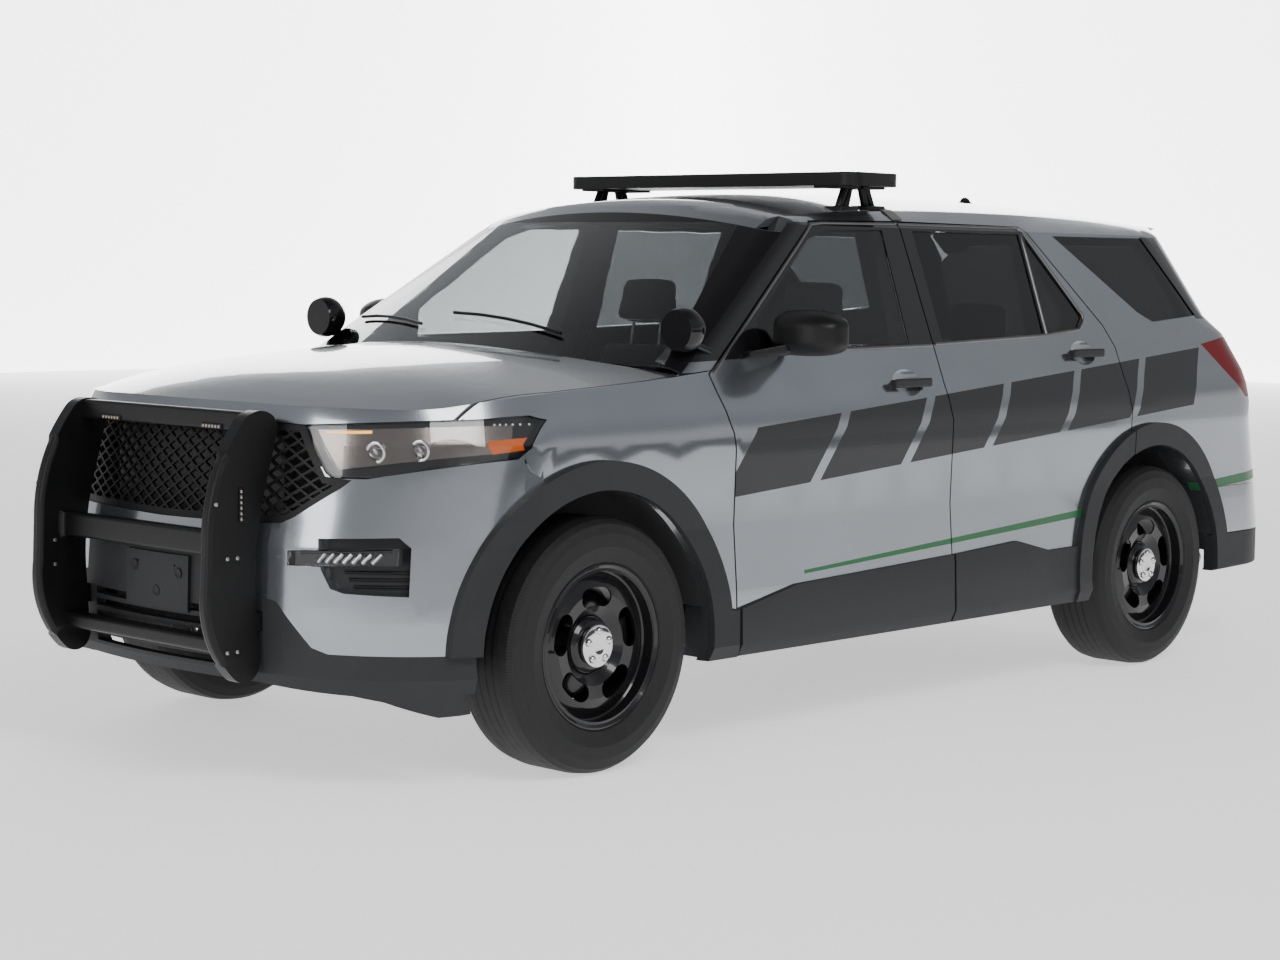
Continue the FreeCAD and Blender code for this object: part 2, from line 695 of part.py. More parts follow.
VALANCE_FOOT = [
    (1100, 286),
    (886, 286),
    (868, 222),
    (836, 218),
    (752, 268),
    (690, 284),
    (395, 303),
    (0, 303),
]
FRONT_X0, FRONT_X1 = front(100), front(1100)


def front_cut(outline):
    return slab_x(outline, FRONT_X0, FRONT_X1)


def mirrored(half):
    """Outline of both halves from the left half, which starts and ends on the middle."""
    return half + [(-y, z) for y, z in reversed(half) if y > 0]


def lower_front(step, foot):
    """Front-view region below the painted bumper's lower edge."""
    edge = [(y, z + step) for y, z in BUMPER_LOWER]
    return front_cut(mirrored(edge + foot))


front_wall = nose_wall.common(slab_y(BUMPER_SIDE, -1100, 1100))
lamp_cuts = [front_cut(outset(HEADLAMP, 2.0)), front_cut(outset([(-y, z) for y, z in HEADLAMP], 2.0))]
fog_cuts = [
    front_cut(FOG_RECESS),
    front_cut(FOG_LAMP),
    front_cut([(-y, z) for y, z in FOG_RECESS]),
    front_cut([(-y, z) for y, z in FOG_LAMP]),
]
grille_cut = front_cut(outset(mirrored(GRILLE_HALF), 0.5))
arch_front = cylinder_y(FRONT_AXLE, TYRE_RADIUS, ARCH_CUT, -1100, 1100)
hood_zone = below_lip(-3.0)
front_bumper = front_wall.common(hood_zone).cut(
    lamp_cuts + fog_cuts + [grille_cut, arch_front, lower_front(0.5, [(1100, 0), (0, 0)])]
)
valance = front_wall.common(lower_front(0, VALANCE_FOOT)).cut([arch_front])
INTAKE_SLATS = 5
intake = [
    front_cut(mirrored([(0, z), (350, z), (350, z + 22), (0, z + 22)]))
    for z in [342 + 36 * i for i in range(INTAKE_SLATS)]
]
PLATE = [(front(868), front(891)), (-150, 150), (480, 644)]
bracket = box(*PLATE[0], *PLATE[1], *PLATE[2]).common(hull(NOSE_LEVELS, -10.0)).cut(hull(NOSE_LEVELS, 0))
PLATE_HOLE_R = 3.5
PLATE_HOLES = [(y, 612) for y in (-89, 89)]
plate_holes = [
    Part.makeCylinder(PLATE_HOLE_R, 60, Vector(front(850), y, z), Vector(1, 0, 0)) for y, z in PLATE_HOLES
]
tray_region = front_cut(outset(FOG_RECESS, 12.0)).fuse(front_cut(outset(FOG_LAMP, 12.0)))
fog_tray = nose_layer(FENDER_WALL + SEAT_GAP, FENDER_WALL + 14, tray_region)
PUSH_FOOT_Z = 480.0
PUSH_FOOT = 26.0  # half height of a foot of the push bumper
foot_slots = both_sides([
    box(front(600), front(1000), PUSH_UPRIGHT_Y - 22, PUSH_UPRIGHT_Y + 22, PUSH_FOOT_Z - PUSH_FOOT - 2,
        PUSH_FOOT_Z + PUSH_FOOT + 2)
])
valance = fuse([valance.cut(intake + foot_slots), bracket]).cut(plate_holes)

fender_cuts = lamp_cuts[:1] + [
    hood_plan(HOOD_GAP),
    slab_y(outset(BUMPER_SIDE, 1.5), -1100, 1100),
    side_cut(outset(FRONT_DOOR, PANEL_GAP)),
    slab_z([(front(-350), 880), (front(-800), 880), (front(-800), 0), (front(-350), 0)], 0, 1500),
    cylinder_y(FRONT_AXLE, TYRE_RADIUS, ARCH_CUT, 0, 1100),
]
fender_zone = box(front(-586), front(495), 300, 1100, SILL_Z, 1400)
fender = nose_wall.common(fender_zone).cut(fender_cuts)
fender = max(fender.Solids, key=lambda s: s.Volume).cut(body_side)
fender = max(fender.Solids, key=lambda s: s.Volume)
HOOD_SWING = 16.0  # room for the hood's rear corners as it swings
swing_zone = box(front(-500), front(200), -1100, 1100, 0, 1300)
windshield = windshield.cut([hood_plan(HOOD_SWING).common(swing_zone), fender, other_side(fender)])

# --- headlamps and grille -------------------------------------------------------------------
LENS = 4.0
headlamp_region = front_cut(HEADLAMP)
lens_rim = nose_layer(1.0, FENDER_WALL, headlamp_region.cut(front_cut(outset(HEADLAMP, -LENS))))
lens = fuse([nose_layer(1.0, 1.0 + LENS, headlamp_region), lens_rim]).common(nose)
housing_hull = hull(NOSE_LEVELS, FENDER_WALL + SEAT_GAP)
lamp_back = housing_hull.common(front_cut(outset(HEADLAMP, 6.0))).cut(hull(NOSE_LEVELS, FENDER_WALL + 60))
fog_lens = nose_layer(2.0, FENDER_WALL, front_cut(outset(FOG_LAMP, -3.0)))

GRILLE_DEPTH = 10.0
GRILLE_BAR = 9.0
DIAMOND_W = 58.0
DIAMOND_H = 38.0
grille_region = front_cut(mirrored(GRILLE_HALF))
grille_region = grille_region.cut(both_sides([front_cut(outset(HEADLAMP, 0.6))]))
grille_plate = nose_layer(6.0, 6.0 + GRILLE_DEPTH, grille_region)
mesh_outline = front_cut(outset(mirrored(GRILLE_HALF), -20.0))


def diamond(y, z):
    w = DIAMOND_W / 2 - GRILLE_BAR / 2 * 1.2
    h = DIAMOND_H / 2 - GRILLE_BAR / 2 * 0.9
    return [(y - w, z), (y, z - h), (y + w, z), (y, z + h)]


MESH_ROWS = range(-2, 18)
MESH_COLUMNS = range(-12, 13)
holes = []
for row in MESH_ROWS:
    shift = DIAMOND_W / 2 if row % 2 else 0.0
    for column in MESH_COLUMNS:
        y = column * DIAMOND_W + shift
        z = 765 + row * DIAMOND_H / 2
        holes.append(front_cut(diamond(y, z)))
mesh_holes = Part.makeCompound(holes).common(mesh_outline)
grille = grille_plate.cut(mesh_holes)

# --- liftgate, tail lamps, rear bumper ------------------------------------------------------
rear_wall = cabin_wall.common(box(rear(-1300), rear(-500), -1100, 1100, 600, 1900))
LIFTGATE_GLASS = [(0, 1158), (560, 1162), (640, 1206), (556, ROOF_HEIGHT - 172), (0, ROOF_HEIGHT - 166)]


def rear_cut(outline):
    return slab_x(outline, rear(-1300), rear(-690))


SPOILER = [
    (rear(-640), ROOF_HEIGHT),
    (rear(-930), ROOF_HEIGHT),
    (rear(-930), ROOF_HEIGHT - 100),
    (rear(-800), ROOF_HEIGHT - 132),
    (rear(-640), ROOF_HEIGHT - 60),
]
SPOILER_PLAN = [
    (rear(-600), 585),
    (rear(-640), 585),
    (rear(-716), 500),
    (rear(-800), 330),
    (rear(-840), 150),
]
spoiler = cabin_top.common(slab_y(SPOILER, -585, 585)).common(
    slab_z(SPOILER_PLAN + [(x, -y) for x, y in reversed(SPOILER_PLAN)], 1500, 1900)
)
liftgate = fuse([rear_wall.common(liftgate_region(0)), spoiler]).cut(rear_cut(mirrored(LIFTGATE_GLASS)))
liftgate_glass = cabin_layer(3.0, 3.0 + GLASS, rear_cut(outset(mirrored(LIFTGATE_GLASS), -SEAT_GAP)))
liftgate_glass = liftgate_glass.common(liftgate_region(-SEAT_GAP))

lamp_zone = slab_y(TAIL_LAMP, 560, 1100)
TAIL_LAMP_DEPTH = 60.0
tail_lamp = cabin_layer(0, TAIL_LAMP_DEPTH, lamp_zone).cut(liftgate_region(PANEL_GAP))
bumper_zone = slab_y(REAR_BUMPER, -1100, 1100)
arch_rear = cylinder_y(REAR_AXLE, TYRE_RADIUS, ARCH_CUT, -1100, 1100)
liftgate_stops = [
    Part.makeCylinder(12, 664 - SEAT_GAP - 640, Vector(rear(-1080), y, 640)) for y in (-480, 480)
]
rear_bumper = cabin.common(bumper_zone).cut([hull(CABIN_LEVELS, 60.0), arch_rear])
rear_bumper = fuse([rear_bumper] + liftgate_stops)
DIFFUSER = [
    (rear(-440), BUMPER_FOOT - 4),
    (rear(-1400), BUMPER_FOOT - 4),
    (rear(-1400), 338),
    (rear(-440), 322),
]
diffuser_zone = slab_y(DIFFUSER, -1100, 1100)
rear_valance = cabin.common(diffuser_zone).cut([hull(CABIN_LEVELS, 44.0), arch_rear])

# --- mouldings and door trim ----------------------------------------------------------------
MOULDING_OUTER = ARCH_RADIUS + MOULDING_BAND


def ring_y(x, inner, outer, y0, y1):
    return cylinder_y(x, TYRE_RADIUS, outer, y0, y1).cut(cylinder_y(x, TYRE_RADIUS, inner, y0 - 1, y1 + 1))


arch_opening = cylinder_y(FRONT_AXLE, TYRE_RADIUS, ARCH_RADIUS, 400, 1200)
front_ring = fuse([
    ring_y(FRONT_AXLE, ARCH_RADIUS, MOULDING_OUTER, 500, 1100),
    box(front(-586), front(-300), 500, 1100, SILL_Z + 2, FRONT_CLADDING[1][1]),
]).cut(arch_opening)
front_ring = front_ring.common(box(front(-586), front(700), 500, 1100, SILL_Z + 2, 1100))
front_ring = front_ring.cut(lower_front(-2, [(1100, 0), (0, 0)]))
# The door's front edge swings past the moulding's rear end, which slopes away from the hinge.
HINGE_X, HINGE_Y = front(-545), 978.0
swing_wedge = slab_z([
    (HINGE_X - 55, HINGE_Y + 14),
    (HINGE_X - 41, HINGE_Y + 14),
    (HINGE_X + 5, HINGE_Y + 60),
    (HINGE_X + 5, 1100),
    (HINGE_X - 55, 1100),
], 0, 1100)
front_moulding = nose_layer(-MOULDING, -SEAT_GAP, front_ring).cut(swing_wedge)
rear_ring = ring_y(REAR_AXLE, ARCH_RADIUS, MOULDING_OUTER, 500, 1100)
rear_ring = rear_ring.common(fuse([
    box(rear(-700), REAR_AXLE, 500, 1100, 330, 1100),
    box(REAR_AXLE, rear(700), 500, 1100, DOOR_FOOT, 1100),
]))
rear_moulding_all = cabin_layer(-MOULDING, -SEAT_GAP, rear_ring)
behind_cut = box(rear(-700), REAR_CUT - PANEL_GAP, 0, 1100, 0, 1100)
rear_moulding = rear_moulding_all.common(behind_cut)
door_moulding = rear_moulding_all.common(side_cut(REAR_DOOR))

MIRROR_X, MIRROR_Z = front(-880), 1293.0
MIRROR_DEPTH, MIRROR_HEIGHT = 145.0, 128.0
MIRROR_INNER = 905.0
MIRROR_FOOT = [
    (front(-700), 1214),
    (front(-830), 1214),
    (front(-850), 1240),
    (front(-790), 1240),
]
HANDLE = {"front": (front(-1507), 1118.0), "rear": (rear(397), 1198.0)}
HANDLE_LENGTH, HANDLE_HEIGHT = 200.0, 30.0
HANDLE_STAND = 34.0


def mirror_housing():
    outer = MIRROR_SPAN / 2
    shell = box(MIRROR_X - MIRROR_DEPTH / 2, MIRROR_X + MIRROR_DEPTH / 2, MIRROR_INNER, outer,
                MIRROR_Z - MIRROR_HEIGHT / 2, MIRROR_Z + MIRROR_HEIGHT / 2)
    shell = rounded(shell, 42, lambda e: e.BoundBox.YLength > 100 and e.BoundBox.XMax > MIRROR_X)
    shell = rounded(shell, 38, lambda e: e.BoundBox.YMin > outer - 1 and e.BoundBox.YLength < 1)
    foot = slab_y(MIRROR_FOOT, 880, 960)
    return fuse([shell, foot])


def side_surface_y(x, z):
    """Y of the body's left side at a place along it."""
    levels = [(l[0], HALF_WIDTH - l[1]) for l in CABIN_LEVELS]
    for (z0, y0), (z1, y1) in zip(levels, levels[1:]):
        if z0 <= z <= z1:
            half = y0 + (y1 - y0) * (z - z0) / (z1 - z0)
            return half - (x - WIDEST_X) ** 2 / (2 * SIDE_RADIUS)
    raise ValueError(z)


def handle(place):
    x, z = HANDLE[place]
    y = side_surface_y(x, z)
    grip = box(x - HANDLE_LENGTH / 2, x + HANDLE_LENGTH / 2, y + HANDLE_STAND - 16, y + HANDLE_STAND,
               z - HANDLE_HEIGHT / 2, z + HANDLE_HEIGHT / 2)
    grip = rounded(grip, 7)
    reach = HANDLE_LENGTH / 2 - 22
    posts = [rod((x + s * reach, y - 3, z), (x + s * reach, y + HANDLE_STAND - 8, z), 11) for s in (1, -1)]
    return fuse([grip] + posts)


body_surface = hull(CABIN_LEVELS, -SEAT_GAP)
front_trim = [
    cladding_sheet.common(side_cut(FRONT_CLADDING)),
    handle("front").cut(body_surface),
    mirror_housing().cut(body_surface),
]
rear_cladding = cladding_sheet.common(side_cut(REAR_CLADDING))
rear_cladding = rear_cladding.cut(ring_y(REAR_AXLE, 1, MOULDING_OUTER + 1, 500, 1100))
rear_trim = [rear_cladding, door_moulding, handle("rear").cut(body_surface)]

# --- floor, wheelhouses and bay -------------------------------------------------------------
WHEELHOUSE_RADIUS = ARCH_RADIUS + 4
HOUSE_INNER_FRONT = 496.0
HOUSE_INNER_REAR = 676.0
cabin_fill = hull(CABIN_LEVELS, SILL_DEPTH + SEAT_GAP)
cabin_fill_wide = hull(CABIN_LEVELS, DOOR_DEPTH + SEAT_GAP)
# Stations of the floor and firewall in side view: underside, then upper side.
FLOOR_STATIONS = [
    [(front(-392), 1080), (front(-424), 1080)],
    [(front(-392), 470), (front(-424), 486)],
    [(front(-600), FLOOR_Z), (front(-615), FLOOR_Z + FLOOR_SHEET)],
    [(rear(660), FLOOR_Z), (rear(636), FLOOR_Z + FLOOR_SHEET)],
    [(rear(560), 520), (rear(535), 552)],
    [(rear(-1030), 520), (rear(-1030), 552)],
]
floor_spans = zip(FLOOR_STATIONS, FLOOR_STATIONS[1:])
floor = fuse([slab_y([a, c, d, b], -1000, 1000) for (a, b), (c, d) in floor_spans])
FLOOR_STEP = rear(580)  # the floor widens over the rear wheels behind this
floor_low = floor.common(cabin_fill).common(box(front(-1), FLOOR_STEP, -1000, 1000, 0, 1100))
floor_high = floor.common(cabin_fill_wide).common(box(FLOOR_STEP, rear(-1200), -1000, 1000, 0, 1100))
TUNNEL = [(-130, FLOOR_Z), (-130, 430), (-90, 470), (90, 470), (130, 430), (130, FLOOR_Z)]
TUNNEL_IN = [(y * 0.9, z - 14) for y, z in TUNNEL]
tunnel = slab_x(TUNNEL, front(-480), rear(568)).cut(slab_x(TUNNEL_IN, front(-300), rear(400)))


def wheelhouse(x, inner_y, fill, outer_y):
    """Round liner over a wheel with its inner wall, out to the body's wall."""
    shell = cylinder_y(x, TYRE_RADIUS, WHEELHOUSE_RADIUS + LINER, inner_y - LINER, outer_y)
    shell = shell.cut(cylinder_y(x, TYRE_RADIUS, WHEELHOUSE_RADIUS, inner_y, outer_y + 1))
    return shell.common(fill)


rear_house = wheelhouse(REAR_AXLE, HOUSE_INNER_REAR, cabin_fill_wide, 1000)
rear_house = rear_house.common(box(rear(-700), rear(700), 0, 1000, 330, 1000))
bay_fill = hull(NOSE_LEVELS, FENDER_WALL + SEAT_GAP)
front_house = wheelhouse(FRONT_AXLE, HOUSE_INNER_FRONT, bay_fill, 1000)
front_house = front_house.common(box(front(-700), front(700), 0, 1000, 318, 1000))
front_house = front_house.cut(box(front(-700), front(-460), 0, 1000, 0, 1000))
RAIL_Y = 470.0
rail_left = box(front(-470), front(735), RAIL_Y - 45, RAIL_Y + 24, 430, 540)
floor_hole = both_sides([
    cylinder_y(REAR_AXLE, TYRE_RADIUS, WHEELHOUSE_RADIUS, HOUSE_INNER_REAR, 1000),
    cylinder_y(FRONT_AXLE, TYRE_RADIUS, WHEELHOUSE_RADIUS, HOUSE_INNER_FRONT, 1000),
])
front_beam = box(front(735), front(775), -484, 484, 420, 540)
bay_sides = both_sides([rear_house, front_house, rail_left])
floor_pan = fuse([floor_low, floor_high, tunnel, front_beam] + bay_sides)
shaft_holes = both_sides([cylinder_y(x, TYRE_RADIUS, 60, 400, 800) for x in (FRONT_AXLE, REAR_AXLE)])
floor_pan = floor_pan.cut(floor_hole + shaft_holes + [slab_x(TUNNEL_IN, front(-380), rear(400))])

# --- drivetrain, suspension, exhaust --------------------------------------------------------
ENGINE = rounded(box(front(-330), front(340), -300, 300, 330, 960), 30)
GEARBOX = slab_y([(front(-325), 290), (front(-325), 420), (front(-900), 390), (front(-900), 270)], -95, 95)
PROPSHAFT = rod((front(-900), 0, 330), (rear(150), 0, 350), 34)
DIFFERENTIAL = rounded(box(rear(150), rear(-150), -120, 120, 306, 440), 30)
radiator = box(front(690), front(735), -400, 400, 560, 1000)
radiator_feet = [box(front(690), front(765), y - 30, y + 30, 540, 562) for y in (-380, 380)]
hood_stops = [Part.makeCylinder(12, 200, Vector(front(712), y, 990)) for y in (-340, 340)]
under_hood = crown(HOOD_CROWN, HOOD_CROWN_HALF, FENDER_WALL + SEAT_GAP)
radiator_feet += [stop.common(under_hood) for stop in hood_stops]
powertrain = [fuse([ENGINE, GEARBOX, PROPSHAFT, DIFFERENTIAL]), fuse([radiator] + radiator_feet)]

BALL_JOINT = (FRONT_AXLE, WHEEL_Y - 50, 225.0)
STRUT_TOP = (FRONT_AXLE, WHEEL_Y - 195, 836.0)
KINGPIN = (Vector(*STRUT_TOP) - Vector(*BALL_JOINT)).normalize()
STUD_END = Vector(*BALL_JOINT) + KINGPIN * 52
BALL_STUD = rod(BALL_JOINT, tuple(STUD_END), 9)
SPINDLE_R = 30.0
BEARING_GAP = 0.4
DISC_R = 165.0
DISC_Y = (-8.0, 14.0)  # faces of the brake disc from the wheel's middle


def sector_y(x, inner, outer, middle_deg, half_deg, y0, y1):
    """Part of a ring about a wheel axis."""
    a = [math.radians(middle_deg + s * half_deg) for s in (-1, 1)]
    far = outer * 1.4
    wedge = [(x, TYRE_RADIUS)] + [(x + far * math.cos(t), TYRE_RADIUS + far * math.sin(t)) for t in a]
    ring = cylinder_y(x, TYRE_RADIUS, outer, y0, y1).cut(cylinder_y(x, TYRE_RADIUS, inner, y0 - 1, y1 + 1))
    return ring.common(slab_y(wedge, y0 - 1, y1 + 1))


def caliper(x, ahead):
    """Brake caliper straddling the disc, ahead of or behind the axle, with its bracket to the hub."""
    middle = 0 if ahead > 0 else 180
    body = sector_y(x, 105, 190, middle, 20, WHEEL_Y - 34, WHEEL_Y + 34)
    slot = cylinder_y(x, TYRE_RADIUS, DISC_R + 5, WHEEL_Y + DISC_Y[0] - 5, WHEEL_Y + DISC_Y[1] + 5)
    bracket = box(x + ahead * 20, x + ahead * 130, WHEEL_Y - 34, WHEEL_Y - 16, TYRE_RADIUS - 30,
                  TYRE_RADIUS + 30)
    return fuse([body.cut(slot), bracket])


def lower_arm(x):
    """Triangular control arm with its bushes on the subframe."""
    plan = [
        (x + 150, 330),
        (x + 26, WHEEL_Y - 70),
        (x - 26, WHEEL_Y - 70),
        (x - 220, 330),
        (x - 160, 330),
        (x, 560),
        (x + 95, 330),
    ]
    arm = slab_z(plan, 222, 246)
    bushes = [
        Part.makeCylinder(26, 70, Vector(x + dx - 35, 318, 234), Vector(1, 0, 0)) for dx in (122, -190)
    ]
    socket = Part.makeCylinder(24, 26, Vector(x, WHEEL_Y - 50, 220))
    tongue = box(x - 24, x + 24, WHEEL_Y - 80, WHEEL_Y - 50, 222, 246)
    return fuse([arm, tongue, socket, BALL_STUD] + bushes)


SUBFRAME = 62.0


def subframe(x, z):
    rails = both_sides([box(x - 330, x + 230, 262, 318, z, z + SUBFRAME)])
    beams = [box(x + a, x + b, -265, 265, z, z + SUBFRAME) for a, b in ((160, 220), (-320, -250))]
    return rails + beams


FRAME_Z = 236.0
ENGINE_FOOT = 330.0
front_axle_frame = subframe(FRONT_AXLE, FRAME_Z) + both_sides([lower_arm(FRONT_AXLE)])
half_shaft_front = both_sides([
    rod((FRONT_AXLE, 300, TYRE_RADIUS), (FRONT_AXLE, WHEEL_Y - 116, TYRE_RADIUS), 16)
])
mount_posts = [
    box(FRONT_AXLE + dx - 25, FRONT_AXLE + dx + 25, 240, 300, FRAME_Z + 60, ENGINE_FOOT)
    for dx in (195, -290)
]
front_suspension = fuse(front_axle_frame + half_shaft_front + both_sides(mount_posts))
carrier = rounded(box(REAR_AXLE - 60, REAR_AXLE + 60, WHEEL_Y - 90, WHEEL_Y - 32, 300, 470), 12)
rear_hub = fuse([
    cylinder_y(REAR_AXLE, TYRE_RADIUS, 50, WHEEL_Y - 34, WHEEL_Y - 14),
    cylinder_y(REAR_AXLE, TYRE_RADIUS, SPINDLE_R, WHEEL_Y - 15, WHEEL_Y + 40),
    caliper(REAR_AXLE, 1),
])
rear_damper = rod((REAR_AXLE - 40, WHEEL_Y - 215, 280), (REAR_AXLE - 10, WHEEL_Y - 235, 512.6), 26)
rear_lower = rounded(box(REAR_AXLE - 70, REAR_AXLE + 70, 300, WHEEL_Y - 80, 262, 296), 8)
carrier_neck = box(REAR_AXLE - 30, REAR_AXLE + 30, WHEEL_Y - 90, WHEEL_Y - 50, 280, 310)
rear_shaft = rod((REAR_AXLE, 121, 356), (REAR_AXLE, WHEEL_Y - 88, TYRE_RADIUS), 16)
rear_parts = [carrier, rear_hub, rear_damper, rear_lower, carrier_neck, rear_shaft]
rear_mounts = [box(REAR_AXLE + dx - 22, REAR_AXLE + dx + 22, 268, 312, 296, 519) for dx in (195, -290)]
rear_suspension = fuse(subframe(REAR_AXLE, FRAME_Z + 5) + both_sides(rear_parts + rear_mounts))

EXHAUST_R = 30.0
EXHAUST_ROUTE = [
    (front(-330), -190, 352),
    (front(-410), -190, 352),
    (front(-570), -190, 250),
    (rear(520), -190, 250),
    (rear(350), -190, 208),
    (rear(-432), -190, 208),
]
exhaust_front = tube_path(EXHAUST_ROUTE, EXHAUST_R, 60)
hangers = both_sides([box(rear(-520), rear(-550), 380, 400, 370, 519.7)])
muffler = rounded(box(rear(-430), rear(-640), -560, 560, 175, 385), 60, lambda e: e.BoundBox.YLength > 500)
tips = both_sides([rod((rear(-638), 480, 300), (rear(-1085), 520, 290), 34)])
exhaust = fuse([exhaust_front, muffler] + tips + hangers)

# --- wheels ---------------------------------------------------------------------------------
def profile_y(points):
    """Closed (radius, y) section turned about the Y axis through the origin."""
    section = Part.Face(polygon([Vector(r, y, 0) for r, y in points]))
    return section.revolve(Vector(0, 0, 0), Vector(0, 1, 0), 360)


HALF_TYRE = TYRE_WIDTH / 2
HALF_RIM = RIM_WIDTH / 2
FLANGE_R = RIM_RADIUS + 17.4
TYRE_HALF = [
    (RIM_RADIUS + SEAT_GAP, HALF_RIM - 8.5),
    (FLANGE_R - 6.5, HALF_RIM - 4.5),
    (FLANGE_R + 1, HALF_RIM + 2),
    (FLANGE_R + 6, HALF_RIM + 8),
    (TYRE_RADIUS - 85, HALF_TYRE),
    (TYRE_RADIUS - 46, HALF_TYRE - 3),
    (TYRE_RADIUS - 18, HALF_TYRE - 13),
    (TYRE_RADIUS - 5, HALF_TYRE - 30),
    (TYRE_RADIUS, HALF_TYRE - 62),
]
TYRE_INNER = [
    (TYRE_RADIUS - 17, HALF_TYRE - 62),
    (TYRE_RADIUS - 24, HALF_TYRE - 34),
    (TYRE_RADIUS - 85, HALF_TYRE - 12),
    (RIM_RADIUS + 22, HALF_TYRE - 24),
    (RIM_RADIUS + SEAT_GAP, HALF_TYRE - 44),
]
tyre = profile_y(
    TYRE_HALF
    + [(r, -y) for r, y in reversed(TYRE_HALF)]
    + [(r, -y) for r, y in reversed(TYRE_INNER)]
    + TYRE_INNER
)
WELL_R = RIM_RADIUS - 21.0
RIM_OUTSIDE = [
    (FLANGE_R, HALF_RIM + 4),
    (FLANGE_R - 7, HALF_RIM - 3),
    (RIM_RADIUS, HALF_RIM - 7),
    (RIM_RADIUS, 66),
    (WELL_R, 50),
    (WELL_R, -34),
    (RIM_RADIUS, -62),
    (RIM_RADIUS, -HALF_RIM + 7),
    (FLANGE_R - 7, -HALF_RIM + 3),
    (FLANGE_R, -HALF_RIM - 4),
]
RIM_INSIDE = [
    (FLANGE_R - 5, -HALF_RIM - 6),
    (RIM_RADIUS + 3, -HALF_RIM + 1),
    (RIM_RADIUS - 5, -HALF_RIM - 1),
    (RIM_RADIUS - 5, -64),
    (WELL_R - 5, -36),
    (WELL_R - 5, 54),
    (RIM_RADIUS - 5, 72),
    (RIM_RADIUS - 5, HALF_RIM + 1),
    (RIM_RADIUS + 3, HALF_RIM - 1),
    (FLANGE_R - 5, HALF_RIM + 6),
]
DISC_SEAT = 58.0  # hub face of the wheel disc from the wheel's middle
DISC_FACE = [
    (SPINDLE_R + BEARING_GAP, DISC_SEAT),
    (84, DISC_SEAT),
    (100, DISC_SEAT + 12),
    (120, DISC_SEAT + 28),
    (158, DISC_SEAT + 32),
    (186, DISC_SEAT + 24),
    (206, DISC_SEAT + 14),
    (RIM_RADIUS - 7.5, DISC_SEAT + 9),
]
DISC_THICK = 6.0
wheel_disc = profile_y(DISC_FACE + [(r, y - DISC_THICK) for r, y in reversed(DISC_FACE)])
rim_barrel = profile_y(RIM_OUTSIDE + RIM_INSIDE)
KIDNEYS = 5
KIDNEY_IN, KIDNEY_OUT = 118.0, 174.0
KIDNEY_HALF_DEG = 13.5
CAP_R = 82.0


def kidney(middle_deg):
    """Bean-shaped window: two concentric arcs closed by round ends."""
    mid_r = (KIDNEY_IN + KIDNEY_OUT) / 2

    def at(radius, deg):
        a = math.radians(middle_deg + deg)
        return Vector(radius * math.cos(a), 20, radius * math.sin(a))

    half = KIDNEY_HALF_DEG
    end = half + math.degrees((KIDNEY_OUT - KIDNEY_IN) / 2 / mid_r)
    edges = [
        Part.Arc(at(KIDNEY_IN, -half), at(KIDNEY_IN, 0), at(KIDNEY_IN, half)).toShape(),
        Part.Arc(at(KIDNEY_IN, half), at(mid_r, end), at(KIDNEY_OUT, half)).toShape(),
        Part.Arc(at(KIDNEY_OUT, half), at(KIDNEY_OUT, 0), at(KIDNEY_OUT, -half)).toShape(),
        Part.Arc(at(KIDNEY_OUT, -half), at(mid_r, -end), at(KIDNEY_IN, -half)).toShape(),
    ]
    return Part.Face(Part.Wire(edges)).extrude(Vector(0, HALF_RIM, 0))


CAP_PROFILE = [(0, 0), (CAP_R, 0), (CAP_R, 6), (72, 16), (46, 25), (28, 34), (0, 36)]
hub_cap = profile_y([(r, DISC_SEAT + y) for r, y in CAP_PROFILE])
brake_disc = profile_y([
    (SPINDLE_R + BEARING_GAP, DISC_SEAT - 4),
    (74, DISC_SEAT - 4),
    (74, DISC_Y[1]),
    (DISC_R, DISC_Y[1]),
    (DISC_R, DISC_Y[0]),
    (SPINDLE_R + BEARING_GAP, DISC_Y[0]),
])
windows = [kidney(90 + 360 * i / KIDNEYS) for i in range(KIDNEYS)]
wheel = fuse([wheel_disc.cut(windows), rim_barrel, hub_cap, brake_disc])


def place_wheel(shape, x, side):
    placed = shape if side > 0 else other_side(shape)
    return placed.translated(Vector(x, side * WHEEL_Y, TYRE_RADIUS))


carrier_front = rounded(box(FRONT_AXLE - 46, FRONT_AXLE + 46, WHEEL_Y - 98, WHEEL_Y - 30, 253, 486), 10)
knuckle_parts = [
    carrier_front,
    cylinder_y(FRONT_AXLE, TYRE_RADIUS, 52, WHEEL_Y - 34, WHEEL_Y - 14),
    cylinder_y(FRONT_AXLE, TYRE_RADIUS, SPINDLE_R, WHEEL_Y - 15, WHEEL_Y + 40),
    caliper(FRONT_AXLE, -1),
    box(FRONT_AXLE - 30, FRONT_AXLE + 30, WHEEL_Y - 200, WHEEL_Y - 90, 440, 482),
    rod((FRONT_AXLE, WHEEL_Y - 180, 430), STRUT_TOP, 25),
    rod((FRONT_AXLE, WHEEL_Y - 188, 640), STRUT_TOP, 46),
]
knuckle = fuse(knuckle_parts).cut([
    rod(BALL_JOINT, tuple(Vector(*BALL_JOINT) + KINGPIN * 60), 9 + BEARING_GAP),
    cylinder_y(FRONT_AXLE, TYRE_RADIUS, 24, WHEEL_Y - 120, WHEEL_Y - 60),
])

